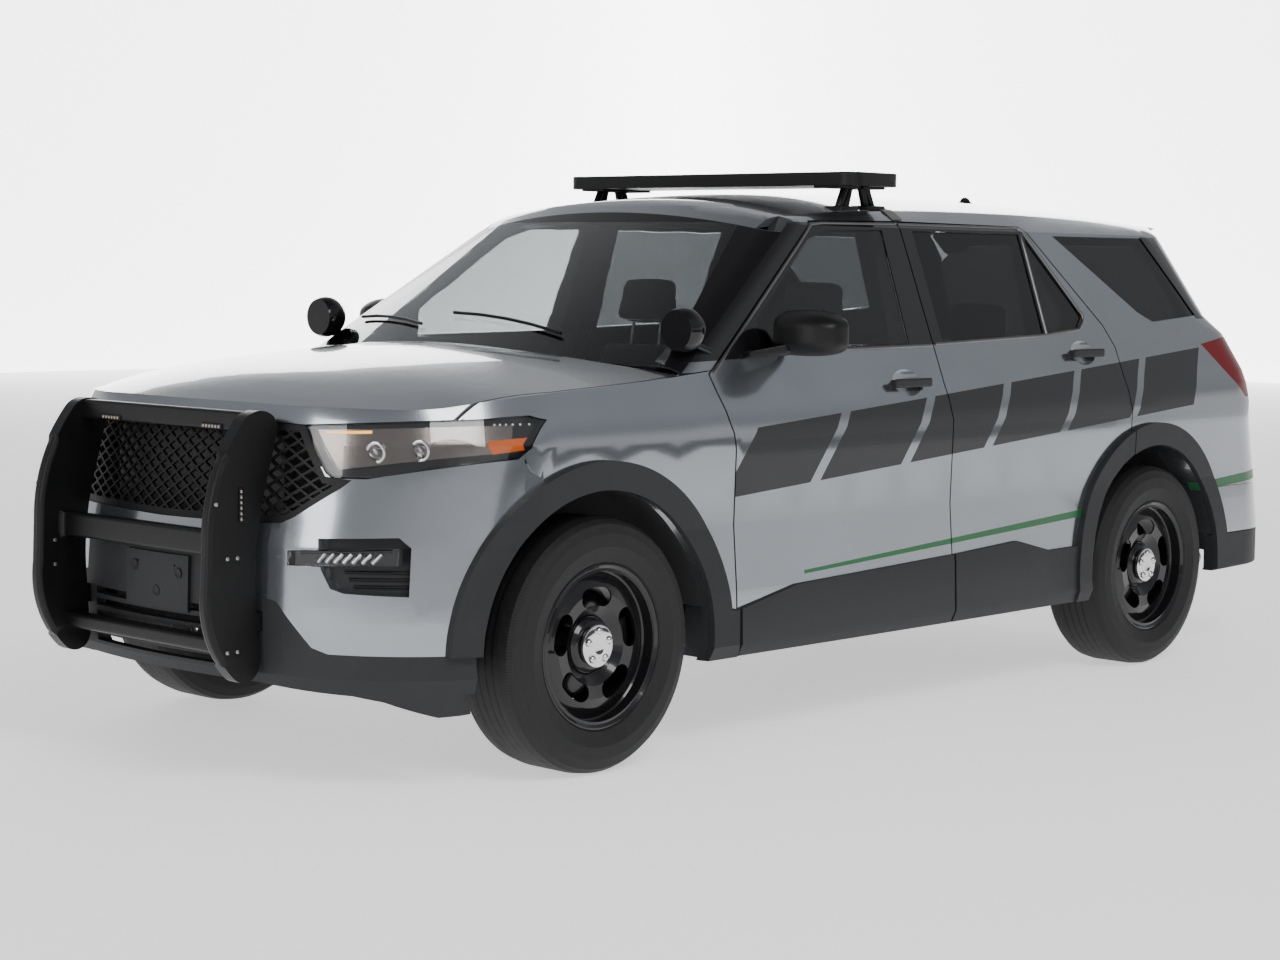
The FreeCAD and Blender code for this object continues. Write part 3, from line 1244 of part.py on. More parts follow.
# --- interior -------------------------------------------------------------------------------
FLOOR_TOP = FLOOR_Z + FLOOR_SHEET
DASH_SIDE = [
    (front(-432), 640),
    (front(-432), 1080),
    (front(-560), 1122),
    (front(-700), 1118),
    (front(-812), 1060),
    (front(-826), 980),
    (front(-770), 860),
    (front(-720), 700),
    (front(-640), 620),
]
DASH_HALF = 788.0
dashboard = slab_y(DASH_SIDE, -DASH_HALF, DASH_HALF)
dashboard = rounded(dashboard, 22, lambda e: e.BoundBox.YLength > 500 and e.BoundBox.XMax < front(-600))
console_side = [(front(-640), 640), (front(-900), 640), (front(-1500), 650), (front(-1560), 600),
                (front(-1560), 470 + SEAT_GAP), (front(-640), 470 + SEAT_GAP)]
console = slab_y(console_side, -120, 120)
COLUMN_Y = 400.0
WHEEL_CENTRE = (front(-1010), COLUMN_Y, 1010.0)
COLUMN_FOOT = (front(-790), COLUMN_Y, 900.0)
column_axis = (Vector(*WHEEL_CENTRE) - Vector(*COLUMN_FOOT)).normalize()
column = rod(COLUMN_FOOT, tuple(Vector(*WHEEL_CENTRE) - column_axis * 44), 34)
dash_parts = [fuse([dashboard, column, console])]
STEER_RIM_R, STEER_TUBE_R = 178.0, 16.0


def steering_wheel_shape():
    """Rim, boss and three spokes, square to the column."""
    rim = Part.makeTorus(STEER_RIM_R, STEER_TUBE_R)
    boss = rounded(Part.makeCylinder(62, 40, Vector(0, 0, -20)), 8)
    spokes = []
    for deg in (0, 180, 270):
        spoke = box(40, STEER_RIM_R, -15, 15, -9, 9)
        spoke.rotate(Vector(0, 0, 0), Vector(0, 0, 1), deg)
        spokes.append(spoke)
    shaft = Part.makeCylinder(16, 26, Vector(0, 0, -44))
    flat = fuse([rim, boss, shaft] + spokes)
    turn = FreeCAD.Rotation(Vector(0, 0, 1), column_axis)
    flat.Placement = FreeCAD.Placement(Vector(*WHEEL_CENTRE), turn)
    return flat


steering_wheel = steering_wheel_shape()
SEAT_Y = 395.0
SEAT_HALF = 255.0
# Side view of a front seat from its H point: cushion, back and head restraint.
SEAT_H = (front(-1445), 690.0)


def seat_side(points, half, radius):
    x0, z0 = SEAT_H
    pad = slab_y([(x0 + x, z0 + z) for x, z in points], -half, half)
    return rounded(pad, radius)


CUSHION = [(330, -20), (345, -150), (-110, -190), (-120, -45)]
BACK = [(-95, -60), (10, -30), (-105, 520), (-190, 540), (-240, 500), (-225, -20)]
HEAD = [(-148, 592), (-160, 740), (-235, 760), (-262, 600)]


def front_seat():
    back = seat_side(BACK, SEAT_HALF - 8, 42)
    cushion = seat_side(CUSHION, SEAT_HALF, 38)
    head = seat_side(HEAD, 140, 34)
    x0, z0 = SEAT_H
    posts = [rod((x0 - 190, y, z0 + 480), (x0 - 205, y, z0 + 640), 7) for y in (-70, 70)]
    return fuse([back, cushion, head] + posts)


def seat_base():
    x0, z0 = SEAT_H
    rails = [box(x0 - 90, x0 + 290, y - 22, y + 22, FLOOR_TOP + SEAT_GAP, z0 - 200) for y in (-190, 190)]
    pan = [(290, -155.6), (-90, -189.3), (-90, -215), (290, -195)]
    return fuse(rails + [slab_y([(x0 + x, z0 + z) for x, z in pan], -215, 215)])


REAR_SEAT_X = rear(620)
REAR_SEAT_HALF = 620.0
rear_cushion = slab_y([
    (REAR_SEAT_X + 330, 690),
    (REAR_SEAT_X + 340, 560),
    (REAR_SEAT_X - 120, 580),
    (REAR_SEAT_X - 120, 660),
], -REAR_SEAT_HALF, REAR_SEAT_HALF)
rear_back = slab_y([
    (REAR_SEAT_X - 100, 610),
    (REAR_SEAT_X, 665),
    (REAR_SEAT_X - 130, 1190),
    (REAR_SEAT_X - 215, 1200),
    (REAR_SEAT_X - 255, 1160),
    (REAR_SEAT_X - 215, 610),
], -REAR_SEAT_HALF, REAR_SEAT_HALF)
rear_heads = [
    rounded(slab_y([(REAR_SEAT_X - 150, 1215), (REAR_SEAT_X - 165, 1370), (REAR_SEAT_X - 235, 1380),
                    (REAR_SEAT_X - 250, 1215)], y - 130, y + 130), 30)
    for y in (-430, 430)
]
rear_posts = [
    rod((REAR_SEAT_X - 205, y, 1150), (REAR_SEAT_X - 208, y, 1260), 7) for y in (-480, -380, 380, 480)
]
rear_seat = fuse([rounded(rear_cushion, 34), rounded(rear_back, 36)] + rear_heads + rear_posts)
rear_base = slab_y([
    (REAR_SEAT_X + 250, FLOOR_TOP + SEAT_GAP),
    (REAR_SEAT_X + 40, FLOOR_TOP + SEAT_GAP),
    (REAR_SEAT_X + 40, 572.5),
    (REAR_SEAT_X + 250, 563.4),
], -560, 560)
rear_base = rear_base.cut(box(-5000, 5000, -140, 140, 0, 480))
bench_leg = box(REAR_SEAT_X - 190, REAR_SEAT_X - 130, -500, 500, 552 + SEAT_GAP, 610 - SEAT_GAP)
front_seats = [front_seat().translated(Vector(0, s * SEAT_Y, 0)) for s in (1, -1)]
seat_bases = [seat_base().translated(Vector(0, s * SEAT_Y, 0)) for s in (1, -1)]

# --- push bumper, light bar, spotlights -----------------------------------------------------
def upright_face(y):
    """Side outline of a push bumper upright, as lines and arcs."""
    def p(x, z):
        return Vector(front(x), y, z)

    tip = FRONT_OVERHANG + PUSH_REACH
    edges = [
        Part.Arc(p(940, 324), p(tip - 26, 416), p(tip, 590)).toShape(),
        Part.LineSegment(p(tip, 590), p(tip - 4, 722)).toShape(),
        Part.Arc(p(tip - 4, 722), p(986, 926), p(914, 1044)).toShape(),
        Part.Arc(p(914, 1044), p(858, 1078), p(800, 1060)).toShape(),
        Part.LineSegment(p(800, 1060), p(785, 1030)).toShape(),
        Part.LineSegment(p(785, 1030), p(826, 880)).toShape(),
        Part.Arc(p(826, 880), p(858, 740), p(868, 590)).toShape(),
        Part.LineSegment(p(868, 590), p(855, 380)).toShape(),
        Part.Arc(p(855, 380), p(874, 320), p(940, 324)).toShape(),
    ]
    return Part.Face(Part.Wire(edges))


push_plate = upright_face(PUSH_UPRIGHT_Y - PUSH_PLATE / 2).extrude(Vector(0, PUSH_PLATE, 0))
TOP_BAR_Z = 1045.0
# Bars between the uprights: rear face, front face, underside, upper side and edge radius.
PUSH_BARS = [
    (front(838), front(874), TOP_BAR_Z - 29, TOP_BAR_Z + 29, 10),
    (front(910), front(950), 664, 738, 12),
    (front(885), front(940), 385, 430, 12),
]
push_bars = [
    rounded(box(x0, x1, -PUSH_UPRIGHT_Y, PUSH_UPRIGHT_Y, z0, z1), r, lambda e: e.BoundBox.YLength > 500)
    for x0, x1, z0, z1, r in PUSH_BARS
]
push_foot = box(front(775) + SEAT_GAP, front(900), PUSH_UPRIGHT_Y - 20, PUSH_UPRIGHT_Y + 20,
                PUSH_FOOT_Z - PUSH_FOOT, PUSH_FOOT_Z + PUSH_FOOT)
push_bumper = fuse(push_bars + both_sides([push_plate, push_foot]))

BAR_X = front(-1637)
bar_half = LIGHT_BAR_LENGTH / 2
bar_low = LIGHT_BAR_TOP - LIGHT_BAR_HEIGHT
BAR_FRONT = BAR_X + LIGHT_BAR_DEPTH / 2
bar_body = box(BAR_FRONT - LIGHT_BAR_DEPTH, BAR_FRONT, -bar_half, bar_half, bar_low, LIGHT_BAR_TOP)
bar_body = rounded(bar_body, 60, lambda e: e.BoundBox.ZLength > 30)
FOOT_Y = 560.0


def bar_foot(x, y):
    top = box(x - 60, x + 60, y - 55, y + 55, bar_low - 8, bar_low + 6)
    base_z = 1600.0
    leg = slab_y([(x - 50, bar_low), (x + 50, bar_low), (x + 74, base_z), (x - 74, base_z)], y - 45, y + 45)
    return fuse([top, leg])


bar_feet = [bar_foot(BAR_X + dx, y) for dx in (-70, 70) for y in (-FOOT_Y, FOOT_Y)]
roof_clear = cabin_top.translated(Vector(0, 0, SEAT_GAP))
light_bar = fuse([bar_body] + bar_feet).cut(roof_clear)

SPOT_R = 71.0
SPOT = (front(-459), 852.0, 1303.0)


def spotlight():
    """Round lamp facing forwards with a domed back, on a bracket from the pillar."""
    x, y, z = SPOT
    ball = Part.makeSphere(SPOT_R, Vector(x, y, z))
    ball = ball.common(box(x - 200, x + 34, y - 200, y + 200, z - 200, z + 200))
    stem = rod((x - 30, y + 4, z - 40), (front(-560), 872, 1236), 11)
    return fuse([ball, stem])


spot = spotlight().cut(hull(CABIN_LEVELS, -SEAT_GAP))
spot = max(spot.Solids, key=lambda q: q.Volume)

# --- export ---------------------------------------------------------------------------------
export("body_sides", both_sides([body_side]))
export("roof_panel", [roof_panel])
export("windshield", [windshield])
export("quarter_windows", both_sides([quarter_window]))
export("hood", [hood])
export("cowl", [cowl])
export("front_bumper", [front_bumper])
export("front_valance", [valance] + both_sides([fog_tray]))
export("front_fenders", both_sides([fender]))
export("front_lamps", both_sides([lens, fog_lens]))
export("lamp_housings", both_sides([lamp_back]))
export("grille", [grille])
export("liftgate", [liftgate])
export("liftgate_glass", [liftgate_glass])
export("tail_lamps", both_sides([tail_lamp]))
export("rear_bumper", [rear_bumper])
export("body_mouldings", both_sides([front_moulding, rear_moulding]) + [rear_valance])
export("floor_pan", [floor_pan])
export("powertrain", powertrain)
export("suspension", [front_suspension, rear_suspension])
export("exhaust", [exhaust])
export("dashboard", dash_parts)
export("seats", front_seats + [rear_seat])
export("seat_bases", seat_bases + [rear_base, bench_leg])
export("push_bumper", [push_bumper])
export("light_bar", [light_bar])
export("spotlights", both_sides([spot]))
export("steering_wheel", [steering_wheel])
for side, sign in (("left", 1), ("right", -1)):
    turn = (lambda q: q) if sign > 0 else other_side
    export("front_door_" + side, [turn(front_door)])
    export("front_door_glass_" + side, [turn(p) for p in panes([FRONT_GLASS])])
    export("front_door_trim_" + side, [turn(p) for p in front_trim])
    export("rear_door_" + side, [turn(rear_door)])
    export("rear_door_glass_" + side, [turn(p) for p in panes([REAR_GLASS, CORNER_GLASS])])
    export("rear_door_trim_" + side, [turn(p) for p in rear_trim])
    export("knuckle_" + side, [turn(knuckle)])
    for axle, x in (("front", FRONT_AXLE), ("rear", REAR_AXLE)):
        export(axle + "_tyre_" + side, [place_wheel(tyre, x, sign)])
        export(axle + "_wheel_" + side, [place_wheel(wheel, x, sign)])
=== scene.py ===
"""A police-type sport utility vehicle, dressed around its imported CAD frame.

Lengths are metres. +X points forwards, +Y to the vehicle's left and +Z up. Places along the vehicle are given
from its front or its rear axle.
"""

from __future__ import annotations

import logging
import math
from dataclasses import dataclass
from enum import Enum
from typing import Any, Callable, Sequence

import bpy
from mathutils import Matrix, Quaternion, Vector
from mathutils.bvhtree import BVHTree


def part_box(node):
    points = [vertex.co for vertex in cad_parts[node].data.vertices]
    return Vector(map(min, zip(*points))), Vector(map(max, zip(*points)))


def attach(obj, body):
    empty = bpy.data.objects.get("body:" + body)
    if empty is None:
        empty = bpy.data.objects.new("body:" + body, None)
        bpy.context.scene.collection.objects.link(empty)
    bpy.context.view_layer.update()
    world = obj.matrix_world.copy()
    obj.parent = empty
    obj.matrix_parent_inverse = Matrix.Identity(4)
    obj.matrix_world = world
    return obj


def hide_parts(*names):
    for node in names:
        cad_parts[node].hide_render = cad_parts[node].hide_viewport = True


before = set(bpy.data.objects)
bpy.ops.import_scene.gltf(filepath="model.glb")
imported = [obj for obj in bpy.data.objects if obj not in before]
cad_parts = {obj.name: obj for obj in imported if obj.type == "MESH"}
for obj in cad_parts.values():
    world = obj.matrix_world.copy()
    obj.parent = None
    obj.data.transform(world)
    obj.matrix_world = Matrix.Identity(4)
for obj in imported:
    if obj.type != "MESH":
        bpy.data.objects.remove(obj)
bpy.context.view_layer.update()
LOG = logging.getLogger("vehicle")

Point = tuple[float, float, float]
Colour = tuple[float, float, float]
Outline = tuple[tuple[float, float], ...]
Piece = bpy.types.Object
Material = bpy.types.Material
Test = Callable[[Vector, Vector], bool]

WHEEL_Y = 0.85
WHEEL_Z = 0.381
UP = Vector((0, 0, 1))


class Option(Enum):
    """A choice whose options are named as in the frame's nodes."""

    @property
    def word(self) -> str:
        """The option's name as it stands in node and body names."""
        return self.name.lower()


class Side(Option):
    """The two sides of the vehicle, with the sign of Y there."""

    LEFT = 1
    RIGHT = -1


class Axle(Option):
    """The two axles, with the X of each."""

    FRONT = 1.566
    REAR = -1.459


def front(x: float) -> float:
    """X of a place given from the front axle, forwards."""
    return Axle.FRONT.value + x


def rear(x: float) -> float:
    """X of a place given from the rear axle, forwards."""
    return Axle.REAR.value + x


# --- shader graphs ------------------------------------------------------------------------------
class Signal:
    """A socket of a shader graph that takes part in Python arithmetic."""

    def __init__(self, graph: Graph, socket: Any) -> None:
        """Keeps the graph and the output socket that this signal reads."""
        self.graph = graph
        self.socket = socket

    def math(self, operation: str, *others: Any) -> Signal:
        """Result of a Math node over this signal and others."""
        return self.graph.math(operation, self, *others)

    def __add__(self, other: Any) -> Signal:
        """This signal plus another or a number."""
        return self.math("ADD", other)

    __radd__ = __add__

    def __sub__(self, other: Any) -> Signal:
        """This signal less another or a number."""
        return self.math("SUBTRACT", other)

    def __rsub__(self, other: Any) -> Signal:
        """A number less this signal."""
        return self.graph.math("SUBTRACT", other, self)

    def __mul__(self, other: Any) -> Signal:
        """This signal times another or a number."""
        return self.math("MULTIPLY", other)

    __rmul__ = __mul__

    def __truediv__(self, other: Any) -> Signal:
        """This signal over another or a number."""
        return self.math("DIVIDE", other)

    def __lt__(self, limit: Any) -> Signal:
        """One where this signal is under a limit."""
        return self.math("LESS_THAN", limit)

    def __gt__(self, limit: Any) -> Signal:
        """One where this signal is over a limit."""
        return self.math("GREATER_THAN", limit)

    def __abs__(self) -> Signal:
        """This signal without its sign."""
        return self.math("ABSOLUTE")

    def clipped(self) -> Signal:
        """This signal kept between 0 and 1."""
        return self.graph.add("ShaderNodeMath", {"operation": "ADD", "use_clamp": True}, {0: self, 1: 0.0})

    def least(self, other: Any) -> Signal:
        """The smaller of this signal and another."""
        return self.math("MINIMUM", other)

    def most(self, other: Any) -> Signal:
        """The larger of this signal and another."""
        return self.math("MAXIMUM", other)

    def modulo(self, step: float) -> Signal:
        """What is left of this signal after whole steps."""
        return self.math("FLOORED_MODULO", step)

    def within(self, low: Any, high: Any) -> Signal:
        """One where this signal lies between two limits."""
        return (self > low) * (self < high)

    def line(self, start: float, value: float, slope: float) -> Signal:
        """A straight line over this signal, through a value at a start."""
        return value + slope * (self - start)


class Graph:
    """The node tree of one material, built from signals."""

    def __init__(self, name: str) -> None:
        """Starts an empty material with an output node."""
        self.material = bpy.data.materials.new(name)
        self.material.use_nodes = True
        self.tree = self.material.node_tree
        self.tree.nodes.clear()
        self.output = self.tree.nodes.new("ShaderNodeOutputMaterial")

    def add(self, kind: str, settings: dict[str, Any], inputs: dict[Any, Any], out: Any = 0) -> Signal:
        """Adds one node.

        Args:
            kind: type of the node.
            settings: its own settings, such as a Math node's operation, set first.
            inputs: values or signals for its sockets.
            out: which output to return.

        Returns:
            The chosen output as a signal.
        """
        node = self.tree.nodes.new(kind)
        for key, value in settings.items():
            setattr(node, key, value)
        for key, value in inputs.items():
            if isinstance(value, Signal):
                self.tree.links.new(value.socket, node.inputs[key])
            else:
                node.inputs[key].default_value = value
        return Signal(self, node.outputs[out])

    def math(self, operation: str, *values: Any) -> Signal:
        """Result of a Math node over signals or numbers."""
        return self.add("ShaderNodeMath", {"operation": operation}, dict(enumerate(values)))

    def place(self) -> Signal:
        """Object coordinates as a vector."""
        return self.add("ShaderNodeTexCoord", {}, {}, "Object")

    def axes(self) -> tuple[Signal, Signal, Signal]:
        """Object coordinates as three signals, in metres."""
        node = self.tree.nodes.new("ShaderNodeSeparateXYZ")
        self.tree.links.new(self.place().socket, node.inputs[0])
        return Signal(self, node.outputs[0]), Signal(self, node.outputs[1]), Signal(self, node.outputs[2])

    def noise(self, scale: float, detail: float = 3.0) -> Signal:
        """Smooth noise between 0 and 1."""
        return self.add("ShaderNodeTexNoise", {}, {"Vector": self.place(), "Scale": scale, "Detail": detail})

    def mix(self, share: Any, low: Any, high: Any) -> Signal:
        """Colour from low to high as share goes from 0 to 1."""
        return self.add("ShaderNodeMix", {"data_type": "RGBA"}, {0: share, 6: _rgba(low), 7: _rgba(high)}, 2)

    def bump(self, height: Signal, depth: float) -> Signal:
        """A normal that follows a height given in units of depth, in metres."""
        return self.add("ShaderNodeBump", {}, {"Height": height, "Distance": depth})

    def shader(self, **sockets: Any) -> Signal:
        """A Principled shader.

        Args:
            sockets: values or signals by socket name, with _ for a space; None leaves a socket alone.

        Returns:
            The shader's output.
        """
        inputs = {key.replace("_", " "): _rgba(value) if isinstance(value, tuple) else value
                  for key, value in sockets.items() if value is not None}
        return self.add("ShaderNodeBsdfPrincipled", {}, inputs)

    def finish(self, shader: Signal) -> Material:
        """Ends the graph in a shader and gives the material."""
        self.tree.links.new(shader.socket, self.output.inputs[0])
        return self.material

    def surface(self, **sockets: Any) -> Material:
        """Ends the graph in a Principled shader with these sockets."""
        return self.finish(self.shader(**sockets))


def _rgba(value: Any) -> Any:
    """A colour with its alpha, or the signal as it is."""
    return value if isinstance(value, Signal) else (*value[:3], 1.0)


def tone(colour: Colour, share: float) -> Colour:
    """A colour made darker or lighter."""
    return tuple(min(part * share, 1.0) for part in colour)


# --- finishes -----------------------------------------------------------------------------------
@dataclass(frozen=True)
class SideMask:
    """Zones of the vehicle's side, found from X and Z alone so that both sides match."""

    x: Signal
    z: Signal
    block_count: int = 6
    block_pitch: float = 0.474
    block_gap: float = 0.05
    block_height: float = 0.205
    block_slant: float = 0.80
    stripe_start: float = 0.917
    handles: Outline = ((1.505, 1.118), (2.628, 1.198))
    cup: tuple[float, float] = (0.078, 0.044)

    @property
    def behind(self) -> Signal:
        """Distance behind the front axle."""
        return Axle.FRONT.value - self.x

    def frames(self) -> Signal:
        """Gloss-black pillars and window frames, above the belt line and ahead of the rear pillar."""
        behind, z = self.behind, self.z
        sail = behind.line(0.534, 1.175, 0.208).least(behind.line(0.798, 1.229, 0.0128))
        belt = sail.most(behind.line(1.578, 1.239, 0.031)).most(behind.line(2.407, 1.265, 0.077))
        below_roof = (z < 1.650).most((behind < 1.16) * (z < 1.70))
        end = z.line(1.332, 2.690, -0.7755).least(z.line(1.332, 2.690, 1.19)) + 0.016
        return (z > belt) * below_roof * (behind < end)

    def rear_strip(self) -> Signal:
        """Gloss-black strip between the rear quarter window and the liftgate."""
        z = self.z
        strip = self.behind.within(z.line(1.630, 3.285, -0.8032), z.line(1.626, 3.432, -0.6385))
        return strip * z.within(1.316, 1.634)

    def blocks(self) -> Signal:
        """Plain slanted charcoal blocks along the doors."""
        pitch = self.block_pitch
        height = self.z - self.behind.line(0.527, 0.783, 0.0732)
        along = self.behind - 0.477 - self.block_slant * height
        band = along.within(0.0, pitch * self.block_count) * height.within(0.0, self.block_height)
        return band * along.modulo(pitch).within(self.block_gap, pitch)

    def stripe(self) -> Signal:
        """The thin green stripe that climbs and widens along the lower doors."""
        behind, start = self.behind, self.stripe_start
        off = abs(self.z - behind.line(start, 0.529, 0.0535))
        return (off < behind.line(start, 0.006, 0.0042)) * (behind > start)

    def cups(self) -> Signal:
        """Hollows behind the door handles, from 0 at the rim to 1 in the middle."""
        total: Any = 0.0
        for behind, z in self.handles:
            across = (self.behind - behind) / self.cup[0]
            up = (self.z - z) / self.cup[1]
            total = (1.0 - (across * across + up * up)).clipped() + total
        return total


@dataclass(frozen=True)
class SilverPaint:
    """Metallic silver paint under clear lacquer, with the markings of the side."""

    name: str = "silver_paint"
    silver: Colour = (0.30, 0.322, 0.35)
    charcoal: Colour = (0.013, 0.0135, 0.015)
    green: Colour = (0.004, 0.11, 0.028)
    gloss: Colour = (0.006, 0.006, 0.007)
    marked: bool = False

    def build(self) -> Material:
        """Flaked base colour, with the markings where the finish has them."""
        graph = Graph(self.name)
        flake = graph.noise(1500.0, 1.0)
        shade = 0.55 * flake + 0.45 * graph.noise(3.0, 2.0)
        colour = graph.mix(shade, tone(self.silver, 0.82), tone(self.silver, 1.16))
        if not self.marked:
            return self._lacquer(graph, colour, 0.9, 0.15 + 0.05 * flake, 1.0, None)
        x, y, z = graph.axes()
        mask = SideMask(x, z)
        blocks = mask.blocks() * (abs(y) > 0.80)
        stripe = mask.stripe() * (abs(y) > 0.90)
        black = (mask.frames() + mask.rear_strip()).clipped()
        colour = graph.mix(blocks, colour, self.charcoal)
        colour = graph.mix(stripe, colour, self.green)
        colour = graph.mix(black, colour, self.gloss)
        bare = (blocks + stripe + black).clipped()
        rough = 0.17 + 0.25 * blocks + 0.2 * stripe - 0.08 * black
        hollow = graph.bump(1.0 - mask.cups(), 0.012)
        return self._lacquer(graph, colour, 0.9 * (1.0 - bare), rough, 1.0 - 0.85 * bare, hollow)

    @staticmethod
    def _lacquer(graph: Graph, colour: Signal, metallic: Any, rough: Signal, coat: Any,
                 normal: Any) -> Material:
        """Ends the paint under its clear coat.

        Args:
            graph: the paint's graph.
            colour: base colour.
            metallic: how metallic the base is.
            rough: roughness of the base.
            coat: weight of the lacquer.
            normal: a bumped normal, or None.

        Returns:
            The paint.
        """
        return graph.surface(Base_Color=colour, Metallic=metallic, Roughness=rough, Coat_Weight=coat,
                             Coat_Roughness=0.03, Coat_IOR=1.5, Normal=normal)


@dataclass(frozen=True)
class Plastic:
    """Moulded plastic, from grained charcoal to piano black."""

    name: str
    colour: Colour
    rough: float
    grain: float = 0.0002
    coat: float = 0.0

    def build(self) -> Material:
        """Fine leather grain, with roughness that varies a little."""
        graph = Graph(self.name)
        cells = graph.add("ShaderNodeTexVoronoi", {"feature": "SMOOTH_F1"},
                          {"Vector": graph.place(), "Scale": 900.0})
        cloud = graph.noise(14.0)
        return graph.surface(Base_Color=graph.mix(cloud, tone(self.colour, 0.85), tone(self.colour, 1.2)),
                             Roughness=self.rough * (0.85 + 0.3 * cloud), Specular_IOR_Level=0.25,
                             Coat_Weight=self.coat, Coat_Roughness=0.03,
                             Normal=graph.bump(cells, self.grain) if self.grain else None)


@dataclass(frozen=True)
class Metal:
    """Bare, cast or plated metal."""

    name: str
    colour: Colour
    rough: float
    texture: float = 0.0003
    scale: float = 120.0

    def build(self) -> Material:
        """Mottled colour and roughness over a slight bump."""
        graph = Graph(self.name)
        mottle = graph.noise(self.scale, 5.0)
        return graph.surface(Base_Color=graph.mix(graph.noise(9.0), tone(self.colour, 0.75), self.colour),
                             Metallic=1.0, Roughness=self.rough * (0.75 + 0.5 * mottle),
                             Normal=graph.bump(mottle, self.texture) if self.texture else None)


@dataclass(frozen=True)
class Glazing:
    """Window glass, clear or with a privacy tint."""

    name: str
    tint: Colour

    def build(self) -> Material:
        """Solid tinted glass with faint dust in its colour."""
        graph = Graph(self.name)
        colour = graph.mix(graph.noise(6.0), tone(self.tint, 0.96), self.tint)
        return graph.surface(Base_Color=colour, Roughness=0.0, Transmission_Weight=1.0, IOR=1.45,
                             Specular_IOR_Level=0.3)


@dataclass(frozen=True)
class Windscreen:
    """Laminated glass with a black ceramic border along its edges."""

    name: str = "windscreen_glass"
    tint: Colour = (0.55, 0.58, 0.58)
    border: Colour = (0.008, 0.008, 0.009)
    top_band: float = 0.035
    half_top: float = 0.545
    half_spread: float = 0.30

    def build(self) -> Material:
        """Tinted glass whose rim turns into a black ceramic band."""
        low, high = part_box("windshield")
        graph = Graph(self.name)
        _, y, z = graph.axes()
        top = z > high[2] - self.top_band
        side = abs(y) > self.half_top + self.half_spread * (high[2] - z) / (high[2] - low[2])
        glass = graph.shader(Base_Color=self.tint, Roughness=0.0, Transmission_Weight=1.0, IOR=1.45,
                             Specular_IOR_Level=0.2)
        black = graph.shader(Base_Color=self.border, Roughness=0.1, Specular_IOR_Level=0.2)
        frit = (top + side).clipped()
        return graph.finish(graph.add("ShaderNodeMixShader", {}, {0: frit, 1: glass, 2: black}))


@dataclass(frozen=True)
class TyreRubber:
    """Tyre rubber with grooves in the tread and rings on the sidewall."""

    axle: Axle
    side: Side
    tread: float = 0.366
    shoulder: float = 0.088
    grooves: tuple[float, float] = (0.044, 0.015)
    groove_half: float = 0.0042
    wall: tuple[float, float, float] = (0.262, 0.300, 0.366)

    def build(self) -> Material:
        """Four grooves round the tread, slanted sipes across it and plain rings on the wall, with painted
        shade in the cuts.
        """
        graph = Graph(f"rubber_{self.axle.word}_tyre_{self.side.word}")
        x, y, z = graph.axes()
        dx, dz = x - self.axle.value, z - WHEEL_Z
        radius = (dx * dx + dz * dz).math("SQRT")
        turn = dz.math("ARCTAN2", dx)
        across = abs(y - self.side.value * WHEEL_Y)
        outer, inner = self.grooves
        groove = abs(across - outer).least(abs(across - inner)) < self.groove_half
        sipes = ((turn * 40.0 + across * 60.0).modulo(1.0) < 0.13) * (across < self.shoulder)
        lugs = ((turn * 40.0).modulo(1.0) < 0.16) * (across > self.shoulder)
        cuts = (groove + sipes + lugs).clipped() * (radius > self.tread)
        bead, middle, edge = self.wall
        rings = radius.modulo(0.012) * 60.0 * radius.within(bead, middle)
        wall_rings = (radius.modulo(0.02) < 0.002) * radius.within(middle, edge)
        dust = graph.noise(34.0, 5.0)
        colour = graph.mix(dust, (0.009, 0.009, 0.0095), (0.019, 0.019, 0.020))
        height = 0.4 * rings + 0.5 * wall_rings + 0.3 * graph.noise(420.0) - 4.0 * cuts
        # Painted shade: the grooves, sipes and lugs are painted near black, darker than the rubber around
        # them.
        return graph.surface(Base_Color=graph.mix(cuts, colour, (0.002, 0.002, 0.002)),
                             Roughness=0.5 + 0.2 * dust, Specular_IOR_Level=0.3,
                             Normal=graph.bump(height, 0.0016))


@dataclass(frozen=True)
class Cloth:
    """Woven seat fabric."""

    name: str = "seat_fabric"
    colour: Colour = (0.035, 0.035, 0.038)
    threads: float = 2600.0

    def build(self) -> Material:
        """Over-and-under weave from two crossed waves, with sheen."""
        graph = Graph(self.name)
        x, y, z = graph.axes()
        weave = ((x + z) * self.threads).math("SINE") * (y * self.threads).math("SINE")
        colour = graph.mix(weave * 0.5 + 0.5, self.colour, tone(self.colour, 1.9))
        return graph.surface(Base_Color=colour, Roughness=0.9, Sheen_Weight=0.3,
                             Normal=graph.bump(weave, 0.0004))


@dataclass(frozen=True)
class Lens:
    """Coloured clear plastic of a lamp, which may glow."""

    name: str
    tint: Colour
    glow: float
    transmission: float
    rough: float = 0.02

    def build(self) -> Material:
        """Clear plastic with faint optics."""
        graph = Graph(self.name)
        x, y, _ = graph.axes()
        flutes = ((y + x) * 700.0).math("SINE")
        return graph.surface(Base_Color=self.tint, Roughness=self.rough, Transmission_Weight=self.transmission,
                             IOR=1.49, Emission_Color=self.tint, Emission_Strength=self.glow,
                             Normal=graph.bump(flutes, 0.00012), Coat_Weight=0.5)


@dataclass(frozen=True)
class Studio:
    """Plain matt finish of the floor, the backdrops and the cards."""

    name: str = "studio_floor"
    grey: float = 0.9
    glow: float = 0.8

    def build(self) -> Material:
        """Matt surface that may glow."""
        return Graph(self.name).surface(Base_Color=(self.grey,) * 3, Roughness=0.9,
                                        Emission_Color=(1.0, 1.0, 1.0), Emission_Strength=self.glow)


